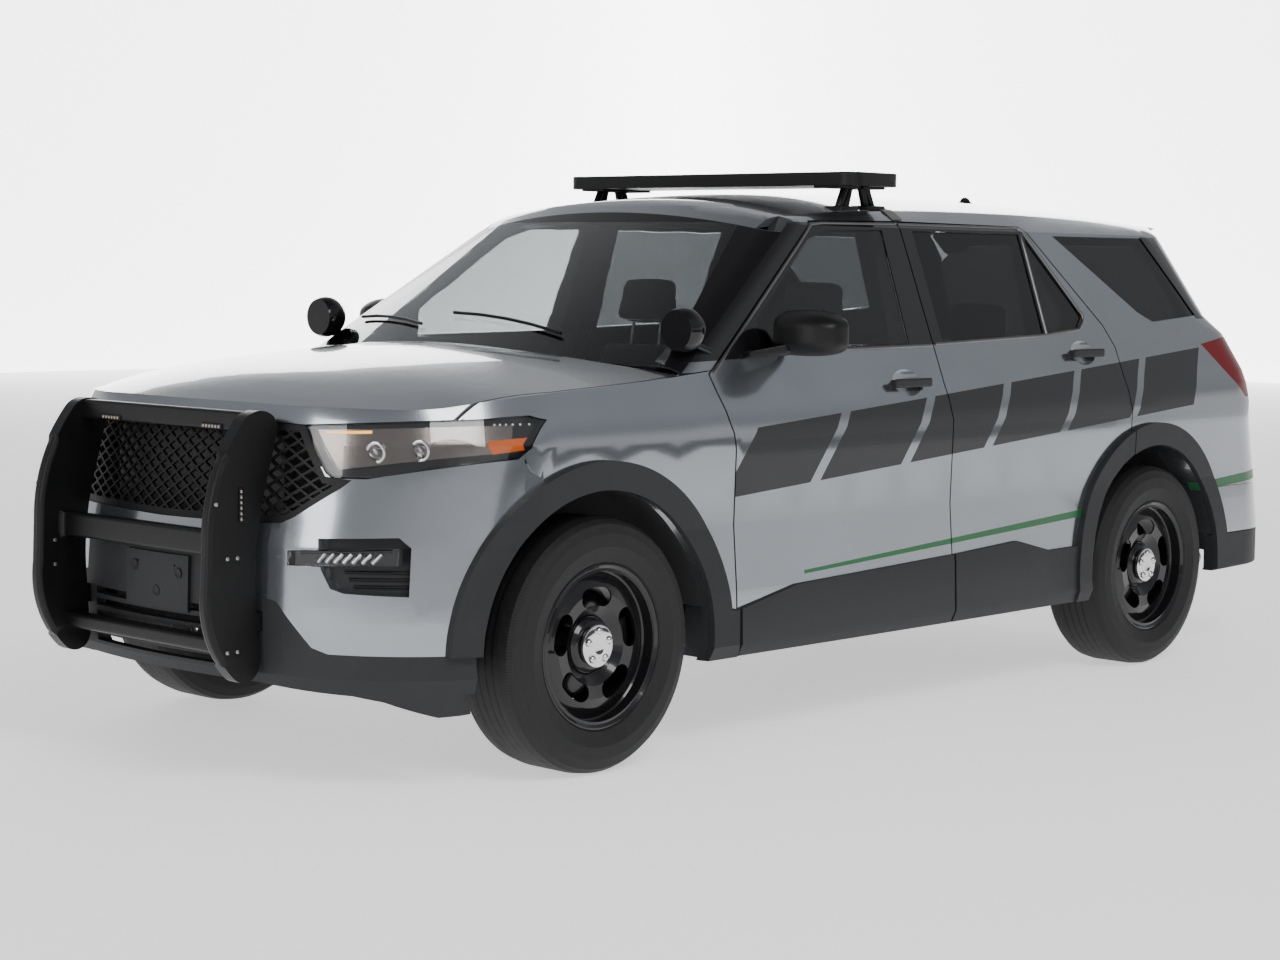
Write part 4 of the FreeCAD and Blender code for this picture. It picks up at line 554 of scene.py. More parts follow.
class Finishes:
    """Every finish of the vehicle, built once."""

    def __init__(self) -> None:
        """Builds the materials."""
        self.paint = SilverPaint().build()
        self.marked = SilverPaint("silver_paint_marked", marked=True).build()
        self.charcoal = Plastic("charcoal_plastic", (0.022, 0.0225, 0.024), 0.5).build()
        self.black = Plastic("black_plastic", (0.007, 0.007, 0.0075), 0.38).build()
        self.piano = Plastic("piano_black", (0.006, 0.006, 0.007), 0.12, 0.0, 0.35).build()
        self.cabin = Plastic("cabin_plastic", (0.04, 0.04, 0.043), 0.6, 0.0003).build()
        self.powder = Plastic("powder_coat", (0.005, 0.005, 0.0055), 0.3, 0.0003).build()
        self.rubber = Plastic("soft_rubber", (0.014, 0.014, 0.015), 0.7, 0.0001).build()
        self.underbody = Plastic("underbody_seal", (0.03, 0.03, 0.031), 0.75, 0.0006).build()
        self.rim = Plastic("rim_black", (0.008, 0.008, 0.009), 0.2, 0.0, 0.5).build()
        self.red = Plastic("red_lens", (0.16, 0.004, 0.006), 0.22, 0.0).build()
        self.lamp_black = Plastic("lamp_black", (0.02, 0.02, 0.022), 0.2, 0.0, 0.4).build()
        self.iron = Metal("cast_iron", (0.13, 0.125, 0.12), 0.55, 0.0006, 160.0).build()
        self.steel = Metal("dull_steel", (0.42, 0.41, 0.4), 0.38).build()
        self.chrome = Metal("chrome", (0.82, 0.82, 0.83), 0.06, 0.0).build()
        self.satin = Metal("satin_trim", (0.22, 0.215, 0.21), 0.35, 0.0).build()
        self.strap = Metal("strap_steel", (0.36, 0.345, 0.325), 0.42, 0.0).build()
        self.bulb = Metal("warm_reflector", (0.34, 0.29, 0.26), 0.2, 0.0).build()
        self.clear = Glazing("clear_glass", (0.28, 0.295, 0.295)).build()
        self.tinted = Glazing("privacy_glass", (0.035, 0.038, 0.04)).build()
        self.cover = Glazing("lamp_cover", (0.9, 0.91, 0.92)).build()
        self.windscreen = Windscreen().build()
        self.fabric = Cloth().build()
        self.amber = Lens("amber_lens", (0.85, 0.16, 0.01), 0.25, 0.2).build()
        self.glow = Lens("amber_light", (1.0, 0.50, 0.10), 2.2, 0.0).build()
        self.led = Lens("led_chip", (0.95, 0.95, 0.9), 0.5, 0.0, 0.2).build()


# --- workbench ------------------------------------------------------------------------------------
class Bench:
    """Modelling steps that every piece shares."""

    @staticmethod
    def clear() -> None:
        """Leaves edit mode and deselects everything."""
        if bpy.context.object and bpy.context.object.mode != "OBJECT":
            bpy.ops.object.mode_set(mode="OBJECT")
        bpy.ops.object.select_all(action="DESELECT")

    @staticmethod
    def pick(piece: Piece) -> None:
        """Makes one object the only selected one."""
        Bench.clear()
        piece.select_set(True)
        bpy.context.view_layer.objects.active = piece

    @staticmethod
    def settle(piece: Piece) -> Piece:
        """Applies place, turn and size so that the object sits at the origin."""
        Bench.pick(piece)
        bpy.ops.object.transform_apply(location=True, rotation=True, scale=True)
        return piece

    @staticmethod
    def modify(piece: Piece, kind: str, **settings: Any) -> Piece:
        """Adds a modifier and applies it.

        Args:
            piece: the object.
            kind: type of the modifier.
            settings: its settings by name.

        Returns:
            The object.
        """
        Bench.pick(piece)
        modifier = piece.modifiers.new(kind.lower(), kind)
        for key, value in settings.items():
            setattr(modifier, key, value)
        bpy.ops.object.modifier_apply(modifier=modifier.name)
        return piece

    @staticmethod
    def edit(piece: Piece, steps: Callable[[], Any], select: str = "SELECT") -> None:
        """Runs edit-mode steps on an object.

        Args:
            piece: the object.
            steps: function that calls the operators.
            select: how the mesh is selected first.
        """
        Bench.pick(piece)
        bpy.ops.object.mode_set(mode="EDIT")
        bpy.ops.mesh.select_mode(type="FACE")
        bpy.ops.mesh.select_all(action=select)
        steps()
        bpy.ops.object.mode_set(mode="OBJECT")

    @staticmethod
    def shape(piece: Piece, test: Test, steps: Callable[[], Any]) -> None:
        """Runs edit-mode steps on chosen faces.

        Args:
            piece: the object.
            test: says from a face's middle and normal whether it is chosen.
            steps: function that calls the operators.
        """
        Bench.edit(piece, lambda: None, "DESELECT")
        for polygon in piece.data.polygons:
            polygon.select = test(polygon.center, polygon.normal)
        bpy.ops.object.mode_set(mode="EDIT")
        steps()
        bpy.ops.object.mode_set(mode="OBJECT")

    @staticmethod
    def cull(piece: Piece, test: Test) -> None:
        """Deletes the faces that pass a test on their middle and normal."""
        Bench.shape(piece, test, lambda: bpy.ops.mesh.delete(type="FACE"))

    @staticmethod
    def divide(piece: Piece, cuts: int) -> None:
        """Cuts every face into smaller ones."""
        Bench.edit(piece, lambda: bpy.ops.mesh.subdivide(number_cuts=cuts))

    @staticmethod
    def step(piece: Piece, axis: Any, *insets: tuple[float, float]) -> None:
        """Steps the end of a piece in or out.

        Args:
            piece: the object.
            axis: where the end looks.
            insets: thickness and depth of each inset, in order.
        """
        way = Vector(axis).normalized()

        def inset() -> None:
            """Makes the insets one inside the other."""
            for thickness, depth in insets:
                bpy.ops.mesh.inset(thickness=thickness, depth=depth)

        Bench.shape(piece, lambda _, normal: normal.dot(way) > 0.95, inset)

    @staticmethod
    def smooth(piece: Piece, degrees: float = 40.0) -> Piece:
        """Smooth shading over edges that turn less than an angle."""
        Bench.pick(piece)
        bpy.ops.object.shade_smooth_by_angle(angle=math.radians(degrees))
        return piece

    @staticmethod
    def outward(piece: Piece, degrees: float = 40.0) -> Piece:
        """Turns all faces outwards and smooths the shading."""
        Bench.edit(piece, lambda: bpy.ops.mesh.normals_make_consistent(inside=False))
        return Bench.smooth(piece, degrees)

    @staticmethod
    def soften(piece: Piece, width: float, segments: int = 2) -> Piece:
        """Rounds the sharp edges and smooths the shading."""
        Bench.modify(piece, "BEVEL", width=width, segments=segments, limit_method="ANGLE")
        return Bench.smooth(piece)

    @staticmethod
    def start(kind: str, name: str, place: Any = (0, 0, 0), scale: Any = (1, 1, 1), turn: Any = (0, 0, 0),
              **settings: Any) -> Piece:
        """Adds a primitive and applies its place, turn and size.

        Args:
            kind: which primitive, as in the operator's name.
            name: name of the piece.
            place: where its middle goes.
            scale: its scale along its own axes.
            turn: its turn about X, Y and Z, in radians.
            settings: the operator's own settings.

        Returns:
            The new piece.
        """
        Bench.clear()
        getattr(bpy.ops.mesh, f"primitive_{kind}_add")(location=place, rotation=turn, **settings)
        piece = bpy.context.object
        piece.name = name
        piece.scale = scale
        return Bench.settle(piece)

    @staticmethod
    def move(piece: Piece, place: Any) -> Piece:
        """Carries a piece from the origin to a place."""
        piece.location = place
        return Bench.settle(piece)

    @staticmethod
    def aim(axis: Any) -> Quaternion:
        """Turn that brings Z onto an axis."""
        return UP.rotation_difference(Vector(axis).normalized())

    @staticmethod
    def block(name: str, low: Any, high: Any, radius: float, segments: int = 2) -> Piece:
        """A box with rounded edges.

        Args:
            name: name of the piece.
            low: one corner.
            high: the opposite corner.
            radius: width of the rounding, which the box may limit.
            segments: faces over the rounding.

        Returns:
            The box.
        """
        middle = tuple((a + b) / 2 for a, b in zip(low, high))
        size = tuple(abs(b - a) for a, b in zip(low, high))
        piece = Bench.start("cube", name, middle, size, size=1.0)
        return Bench.soften(piece, min(radius, min(size) * 0.45), segments)

    @staticmethod
    def drum(name: str, axis: Any, radius: float, depth: float, edge: float, sides: int = 32,
             place: Any = (0, 0, 0)) -> Piece:
        """A short cylinder with rounded edges.

        Args:
            name: name of the piece.
            axis: where its end looks.
            radius: its radius.
            depth: its length.
            edge: width of the rounding.
            sides: faces around it.
            place: its middle.

        Returns:
            The drum.
        """
        turn = Bench.aim(axis).to_euler()
        piece = Bench.start("cylinder", name, place, turn=turn, vertices=sides, radius=radius, depth=depth)
        return Bench.soften(piece, min(edge, depth * 0.4))

    @staticmethod
    def dome(name: str, axis: Any, radius: float, rise: float) -> Piece:
        """Half a ball on the origin, closed at its base.

        Args:
            name: name of the piece.
            axis: where its top looks.
            radius: radius of the base.
            rise: height, to which the ball is flattened.

        Returns:
            The dome.
        """
        piece = Bench.start("uv_sphere", name, segments=32, ring_count=16, radius=radius)
        Bench.edit(piece, lambda: bpy.ops.mesh.bisect(plane_co=(0, 0, 0), plane_no=(0, 0, 1), use_fill=True,
                                                      clear_inner=True))
        piece.matrix_world = Matrix.LocRotScale(None, Bench.aim(axis), Vector((1, 1, rise / radius)))
        return Bench.smooth(Bench.settle(piece))

    @staticmethod
    def tube(name: str, points: Sequence[Any], radius: float) -> Piece:
        """A round rod along a path that is extruded, given a bevel and turned into a mesh.

        Args:
            name: name of the piece.
            points: places along the path.
            radius: the rod's radius.

        Returns:
            The rod.
        """
        places = [Vector(point) for point in points]
        piece = Bench.start("plane", name, places[0], size=0.01)

        def path() -> None:
            """Draws the path from a single vertex."""
            bpy.ops.mesh.select_mode(type="VERT")
            bpy.ops.mesh.select_all(action="SELECT")
            bpy.ops.mesh.merge(type="CENTER")
            for start, end in zip(places, places[1:]):
                bpy.ops.mesh.extrude_region_move(TRANSFORM_OT_translate={"value": end - start})

        Bench.edit(piece, path)
        Bench.pick(piece)
        bpy.ops.object.convert(target="CURVE")
        curve = bpy.context.object.data
        curve.bevel_depth = radius
        curve.bevel_resolution = 3
        curve.use_fill_caps = True
        bpy.ops.object.convert(target="MESH")
        piece = bpy.context.object
        piece.name = name
        return Bench.outward(piece, 50)

    @staticmethod
    def project(piece: Piece, nodes: Sequence[str], axis: str, lift: float) -> None:
        """Drops a sheet onto CAD nodes along one axis.

        Args:
            piece: the sheet, which lies beyond the nodes on the axis's positive side.
            nodes: the nodes that it lands on.
            axis: "x" or "z".
            lift: how far it stays off them.
        """
        target = Skin(*nodes).stand_in()
        Bench.modify(piece, "SHRINKWRAP", target=target, wrap_method="PROJECT", use_negative_direction=True,
                     use_positive_direction=False, offset=lift, **{f"use_project_{axis}": True})
        bpy.data.objects.remove(target)

    @staticmethod
    def copy(piece: Piece, name: str, matrix: Matrix) -> Piece:
        """A copy with its own mesh, moved by a matrix."""
        twin = bpy.data.objects.new(name, piece.data.copy())
        bpy.context.scene.collection.objects.link(twin)
        twin.matrix_world = matrix
        return Bench.settle(twin)

    @staticmethod
    def spread(model: Piece, name: str, places: Sequence[Any]) -> list[Piece]:
        """Copies of a model, after which the model goes.

        Args:
            model: a piece about the origin.
            name: name of the copies; {} stands for a copy's number.
            places: where the copies go.

        Returns:
            The copies.
        """
        copies = [Bench.copy(model, name.format(index), Matrix.Translation(place))
                  for index, place in enumerate(places)]
        bpy.data.objects.remove(model)
        return copies

    @staticmethod
    def join(name: str, pieces: Sequence[Piece]) -> Piece:
        """Joins pieces into one."""
        Bench.clear()
        for piece in pieces:
            piece.select_set(True)
        bpy.context.view_layer.objects.active = pieces[0]
        bpy.ops.object.join()
        pieces[0].name = name
        return pieces[0]

    @staticmethod
    def dress(piece: Piece, material: Material, slot: str, body: str = "body") -> Piece:
        """Finishes a piece and logs it.

        Args:
            piece: the piece.
            material: its finish.
            slot: not used.
            body: the CAD body that it rides on.

        Returns:
            The piece.
        """
        piece.data.materials.clear()
        piece.data.materials.append(material)
        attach(piece, body)
        LOG.info("%s rides on %s", piece.name, body)
        return piece


class Skin:
    """Outer faces of some CAD nodes, for finding where a piece sits on them."""

    def __init__(self, *nodes: str) -> None:
        """Collects the nodes' faces."""
        self.corners: list[Vector] = []
        self.faces: list[tuple[int, ...]] = []
        for node in nodes:
            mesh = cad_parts[node].data
            base = len(self.corners)
            self.corners += [vertex.co.copy() for vertex in mesh.vertices]
            self.faces += [tuple(base + index for index in polygon.vertices) for polygon in mesh.polygons]
        self.tree = BVHTree.FromPolygons(self.corners, self.faces)

    def stand_in(self) -> Piece:
        """The collected faces as a passing object, to lay sheets onto."""
        mesh = bpy.data.meshes.new("target")
        mesh.from_pydata(self.corners, [], self.faces)
        target = bpy.data.objects.new("target", mesh)
        bpy.context.scene.collection.objects.link(target)
        return target

    def _cast(self, start: Point, way: Point, lift: float) -> Vector:
        """First hit from a start along a way, lifted back by a distance."""
        place = self.tree.ray_cast(Vector(start), Vector(way))[0]
        if place is None:
            raise ValueError(f"no surface from {start}")
        return place - Vector(way) * lift

    def flank(self, side: Side, x: float, z: float, lift: float = 0.0) -> Vector:
        """Place on the side's surface at X and Z."""
        return self._cast((x, side.value * 2.0, z), (0, -side.value, 0), lift)

    def nose(self, y: float, z: float, lift: float = 0.0) -> Vector:
        """Place on the front surface at Y and Z."""
        return self._cast((4.0, y, z), (-1, 0, 0), lift)

    def top(self, x: float, y: float, lift: float = 0.0) -> Vector:
        """Place on the upper surface at X and Y."""
        return self._cast((x, y, 4.0), (0, 0, -1), lift)


@dataclass(frozen=True)
class Shell:
    """A merged and smoothed copy of a CAD node that stands for it."""

    node: str
    angle: float = 30.0
    merge: float = 0.00005

    def build(self, material: Material, slot: str, body: str = "body") -> Piece:
        """Copies the node, welds its triangles and smooths its shading.

        Args:
            material: finish of the copy.
            slot: not used.
            body: CAD body that it rides on.

        Returns:
            The new piece.
        """
        Bench.clear()
        piece = bpy.data.objects.new("shell_" + self.node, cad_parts[self.node].data.copy())
        bpy.context.scene.collection.objects.link(piece)

        def weld() -> None:
            """Merges the loose triangles."""
            bpy.ops.mesh.remove_doubles(threshold=self.merge)
            bpy.ops.mesh.dissolve_degenerate(threshold=self.merge)

        Bench.edit(piece, weld)
        Bench.pick(piece)
        if piece.data.has_custom_normals:
            bpy.ops.mesh.customdata_custom_splitnormals_clear()
        Bench.smooth(piece, self.angle)
        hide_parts(self.node)
        return Bench.dress(piece, material, slot, body)


# --- stage ------------------------------------------------------------------------------------------
@dataclass
class Camera:
    """The camera, as fitted to the vehicle's known sizes."""

    place: Point = (6.786, 5.967, 1.502)
    yaw: float = 222.96
    pitch: float = -4.96
    roll: float = 0.76
    lens: float = 69.83
    sensor: float = 36.0

    def build(self) -> None:
        """Adds the camera and makes it the scene's."""
        yaw, pitch, roll = (math.radians(v) for v in (self.yaw, self.pitch, self.roll))
        ahead = Vector((math.cos(yaw) * math.cos(pitch), math.sin(yaw) * math.cos(pitch), math.sin(pitch)))
        right = ahead.cross(UP).normalized()
        up = right.cross(ahead)
        tilted_right = math.cos(roll) * right + math.sin(roll) * up
        tilted_up = math.cos(roll) * up - math.sin(roll) * right
        turn = Matrix((tilted_right, tilted_up, -ahead)).transposed().to_4x4()
        data = bpy.data.cameras.new("camera")
        data.lens = self.lens
        data.sensor_width = self.sensor
        camera = bpy.data.objects.new("camera", data)
        camera.matrix_world = Matrix.Translation(self.place) @ turn
        bpy.context.scene.collection.objects.link(camera)
        bpy.context.scene.camera = camera


@dataclass
class Stage:
    """Pale floor, sky, soft lights, and cards that the paint mirrors."""

    floor_size: float = 60.0
    floor_drop: float = 0.0005
    strength: float = 0.75

    # Name, middle, size, turn about Z, grey and glow of each card.
    CARDS = (
        ("dark_card_left", (-7.5, 9.5, 0.75), (16.0, 0.02, 1.3), 0.0, 0.05, 0.0),
        ("dark_card_front", (12.5, -9.0, 0.8), (0.02, 12.0, 1.4), 0.6, 0.06, 0.0),
        ("backdrop_side", (-20.5, -22.0, 5.0), (25.0, 0.02, 12.0), 0.0, 0.9, 3.6),
        ("backdrop_rear", (-24.0, -20.0, 5.0), (0.02, 24.0, 12.0), 0.0, 0.9, 3.6),
    )
    # Name, place, width, height and power of each light.
    LIGHTS = (
        ("key", (3.5, 6.5, 6.5), 4.0, 3.0, 330.0),
        ("front", (9.5, 0.5, 3.2), 2.5, 4.0, 150.0),
    )
    # Height in the sky, from 0 at the nadir to 1 at the zenith, and its colour.
    SKY = (
        (0.0, (1.0, 1.0, 1.0)),
        (0.57, (1.0, 1.0, 1.0)),
        (0.61, (0.45, 0.46, 0.48)),
        (0.70, (0.62, 0.64, 0.67)),
        (0.85, (0.5, 0.5, 0.52)),
        (1.0, (0.12, 0.12, 0.13)),
    )

    def build(self) -> None:
        """Adds the floor, the lights, the cards and the world."""
        floor = Bench.start("plane", "floor", (0, 0, -self.floor_drop), size=self.floor_size)
        floor.data.materials.append(Studio().build())
        for name, place, width, height, power in self.LIGHTS:
            data = bpy.data.lights.new(name, "AREA")
            data.shape = "RECTANGLE"
            data.size = width
            data.size_y = height
            data.energy = power
            light = bpy.data.objects.new(name, data)
            light.location = place
            light.rotation_euler = (Vector((0, 0, 0.8)) - Vector(place)).to_track_quat("-Z", "Y").to_euler()
            bpy.context.scene.collection.objects.link(light)
        for name, place, size, turn, grey, glow in self.CARDS:
            card = Bench.start("cube", name, place, size, (0, 0, turn), size=1.0)
            Bench.modify(card, "BEVEL", width=0.005, segments=2)
            card.data.materials.append(Studio(name + "_finish", grey, glow).build())
        self._world()

    def _world(self) -> None:
        """Pale surroundings, a little darker at the horizon and dark at the zenith."""
        world = bpy.data.worlds.new("studio")
        world.use_nodes = True
        tree = world.node_tree
        back = tree.nodes["Background"]
        coords, split, shift, ramp = (tree.nodes.new("ShaderNode" + kind)
                                      for kind in ("TexCoord", "SeparateXYZ", "Math", "ValToRGB"))
        shift.operation = "MULTIPLY_ADD"
        shift.inputs[1].default_value = 0.5
        shift.inputs[2].default_value = 0.5
        for output, entry in ((coords.outputs["Generated"], split.inputs[0]),
                              (split.outputs[2], shift.inputs[0]),
                              (shift.outputs[0], ramp.inputs[0]), (ramp.outputs[0], back.inputs[0])):
            tree.links.new(output, entry)
        stops = ramp.color_ramp.elements
        while len(stops) < len(self.SKY):
            stops.new(1.0)
        for stop, (height, colour) in zip(stops, self.SKY):
            stop.position = height
            stop.color = (*colour, 1.0)
        back.inputs[1].default_value = self.strength
        bpy.context.scene.world = world


# --- the vehicle --------------------------------------------------------------------------------------
DOORS = ("front_door_left", "front_door_right", "rear_door_left", "rear_door_right")
FIXED_PANELS = ("roof_panel", "body_sides", "front_bumper", "front_fenders", "rear_bumper")
MARKED_PANELS = (*DOORS, "body_sides", "rear_bumper")


@dataclass
class Part:
    """A part of the vehicle, dressed in the shared finishes."""

    looks: Finishes


@dataclass
class SidePart(Part):
    """A part that stands on one side of the vehicle."""

    side: Side

    def name(self, piece: str) -> str:
        """A name that ends in the side's word."""
        return f"{piece}_{self.side.word}"

    def out(self, x: float, y: float, z: float) -> Vector:
        """A place or a way whose Y is given outwards from the vehicle's middle."""
        return Vector((x, self.side.value * y, z))

    def outward(self, _: Vector, normal: Vector) -> bool:
        """True for faces that look away from the vehicle."""
        return normal.y * self.side.value > 0.9


@dataclass
class CarriedNodes(Part):
    """Better finishes on the CAD nodes that stay."""

    def build(self) -> None:
        """Assigns one finish to each carried-over node."""
        looks = self.looks
        table = {
            looks.charcoal: ("body_mouldings", "front_valance", "cowl"),
            looks.piano: ("spotlights",),
            looks.black: ("grille",),
            looks.windscreen: ("windshield",),
            looks.tinted: ("quarter_windows", "liftgate_glass"),
            looks.cover: ("front_lamps",),
            looks.lamp_black: ("lamp_housings",),
            looks.red: ("tail_lamps",),
            looks.underbody: ("floor_pan",),
            looks.iron: ("powertrain", "suspension"),
            looks.steel: ("exhaust",),
            looks.cabin: ("dashboard", "seat_bases", "steering_wheel"),
        }
        for material, nodes in table.items():
            for node in nodes:
                self._coat(node, material)
        for side in Side:
            self._coat("front_door_glass_" + side.word, looks.clear)
            self._coat("rear_door_glass_" + side.word, looks.tinted)
            self._coat("knuckle_" + side.word, looks.iron)
            for axle in Axle:
                self._coat(f"{axle.word}_door_trim_{side.word}", looks.charcoal)
                self._coat(f"{axle.word}_tyre_{side.word}", TyreRubber(axle, side).build())
                self._coat(f"{axle.word}_wheel_{side.word}", looks.rim)

    @staticmethod
    def _coat(node: str, material: Material) -> None:
        """Puts one finish on a CAD node."""
        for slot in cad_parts[node].material_slots:
            slot.material = material


@dataclass
class Bodywork(Part):
    """Painted panels."""

    def build(self) -> None:
        """Stands a smooth copy for each painted node."""
        for node in ("hood", "liftgate", *FIXED_PANELS, *DOORS):
            material = self.looks.marked if node in MARKED_PANELS else self.looks.paint
            Shell(node).build(material, "paint", "body" if node in FIXED_PANELS else node)


@dataclass
class WindowTrim(SidePart):
    """Satin bead along the door tops and the belt line of one side."""

    bead: float = 0.006
    sink: float = 0.001
    pace: float = 0.09

    TOP = 1.652
    # Routes on each door, as distance from the front axle and height.
    ROUTES = {
        "front": (
            ((-0.549, 1.171), (-1.233, TOP - 0.009), (-1.30, TOP - 0.004), (-1.704, TOP)),
            ((-1.704, 1.239), (-1.578, 1.237), (-0.80, 1.227)),
        ),
        "rear": (
            ((-1.722, TOP), (-2.440, TOP), (-2.470, 1.630), (-2.701, 1.335), (-2.690, 1.312), (-2.648, 1.282),
             (-2.407, 1.264), (-1.775, 1.244), (-1.722, 1.243)),
            ((-2.423, 1.268), (-2.448, 1.646)),
        ),
    }

    def build(self) -> None:
        """Lays the beads on both doors."""
        for axle, routes in self.ROUTES.items():
            body = self.name(axle + "_door")
            skin = Skin(body, self.name(axle + "_door_glass"))
            beads = [Bench.tube("bead", self._path(skin, route), self.bead) for route in routes]
            trim = Bench.join(self.name("window_trim_" + axle), beads)
            Bench.dress(trim, self.looks.satin, "trim_black", body)

    def _path(self, skin: Skin, route: Outline) -> list[Vector]:
        """Follows a route on the door, with places between its corners.

        Args:
            skin: the door and its glass.
            route: the route's corners.

        Returns:
            Places just under the surface.
        """
        corners = [(front(x), z) for x, z in route]
        path = []
        for (x0, z0), (x1, z1) in zip(corners, corners[1:]):
            count = max(1, round(math.hypot(x1 - x0, z1 - z0) / self.pace))
            path += [(x0 + (x1 - x0) * i / count, z0 + (z1 - z0) * i / count) for i in range(count)]
        return [skin.flank(self.side, x, z, -self.sink) for x, z in (*path, corners[-1])]


@dataclass
class DoorTrim(SidePart):
    """Smooth copies of the plastic on the doors, with a moulded mirror in place of the plain one."""

    mirror_x: float = front(-0.880)
    mirror_z: float = 1.293
    inner: float = 0.905
    outer: float = 1.129
    depth: float = 0.160
    height: float = 0.146

    def build(self) -> None:
        """Copies the trim of both doors, then adds the mirror."""
        charcoal = self.looks.charcoal
        Shell(self.name("rear_door_trim"), 40).build(charcoal, "trim_black", self.name("rear_door"))
        trim = Shell(self.name("front_door_trim"), 40).build(charcoal, "trim_black", self.name("front_door"))
        mirror_low, mirror_rear = 1.19, front(-1.05)
        Bench.cull(trim, lambda middle, _: middle.z > mirror_low and middle.x > mirror_rear)
        self._housing()
        x, z = self.mirror_x, self.mirror_z
        lamp = Bench.block(self.name("mirror_lamp"), self.out(x + 0.055, 1.010, z - 0.010),
                           self.out(x + 0.069, 1.052, z - 0.002), 0.003)
        self._ride(lamp, self.looks.bulb, "lamp_body")
        back = x - 0.0735
        glass = Bench.block(self.name("mirror_glass"), self.out(back - 0.002, self.inner + 0.026, z - 0.046),
                            self.out(back + 0.004, self.outer - 0.040, z + 0.042), 0.018, 4)
        self._ride(glass, self.looks.chrome, "lamp_body")
        self._arm()

    def _ride(self, piece: Piece, material: Material, slot: str = "trim_black") -> None:
        """Dresses a piece that turns with the front door."""
        Bench.dress(piece, material, slot, self.name("front_door"))

    def _housing(self) -> None:
        """Rounded shell with an arched top, a flatter underside and a slimmer outer end."""
        x, z = self.mirror_x, self.mirror_z
        size = (self.depth, (self.outer - self.inner) * 1.06, self.height)
        middle = self.out(x, (self.inner + self.outer) / 2, z)
        piece = Bench.start("cube", self.name("mirror_housing"), middle, size, size=1.0)
        Bench.divide(piece, 2)
        end, nose = self.out(x - 0.015, self.outer, z - 0.012), self.out(x, self.inner + 0.10, z - 0.008)
        Bench.shape(piece, self.outward,
                    lambda: bpy.ops.transform.resize(value=(0.62, 1.0, 0.66), center_override=end))
        Bench.shape(piece, lambda _, normal: normal.x > 0.9,
                    lambda: bpy.ops.transform.resize(value=(1.0, 0.86, 0.60), center_override=nose))
        Bench.modify(piece, "SUBSURF", levels=3, render_levels=3)
        self._ride(Bench.smooth(piece, 60), self.looks.black)

    def _arm(self) -> None:
        """Foot that leans from the door's corner out to the housing."""
        foot = Bench.start("cube", self.name("mirror_arm"), self.out(front(-0.80), 0.905, 1.226),
                           (0.17, 0.06, 0.022), size=1.0)
        Bench.divide(foot, 1)

        def lean() -> None:
            """Carries the outer end back under the housing and up to it."""
            bpy.ops.transform.translate(value=self.out(-0.055, 0.045, 0.020))
            bpy.ops.transform.resize(value=(0.62, 1.0, 1.3),
                                     center_override=self.out(front(-0.86), 0.98, 1.245))

        Bench.shape(foot, self.outward, lean)
        Bench.modify(foot, "BEVEL", width=0.006, segments=2, limit_method="ANGLE")
        Bench.modify(foot, "SUBSURF", levels=1, render_levels=1)
        self._ride(Bench.smooth(foot, 50), self.looks.black)


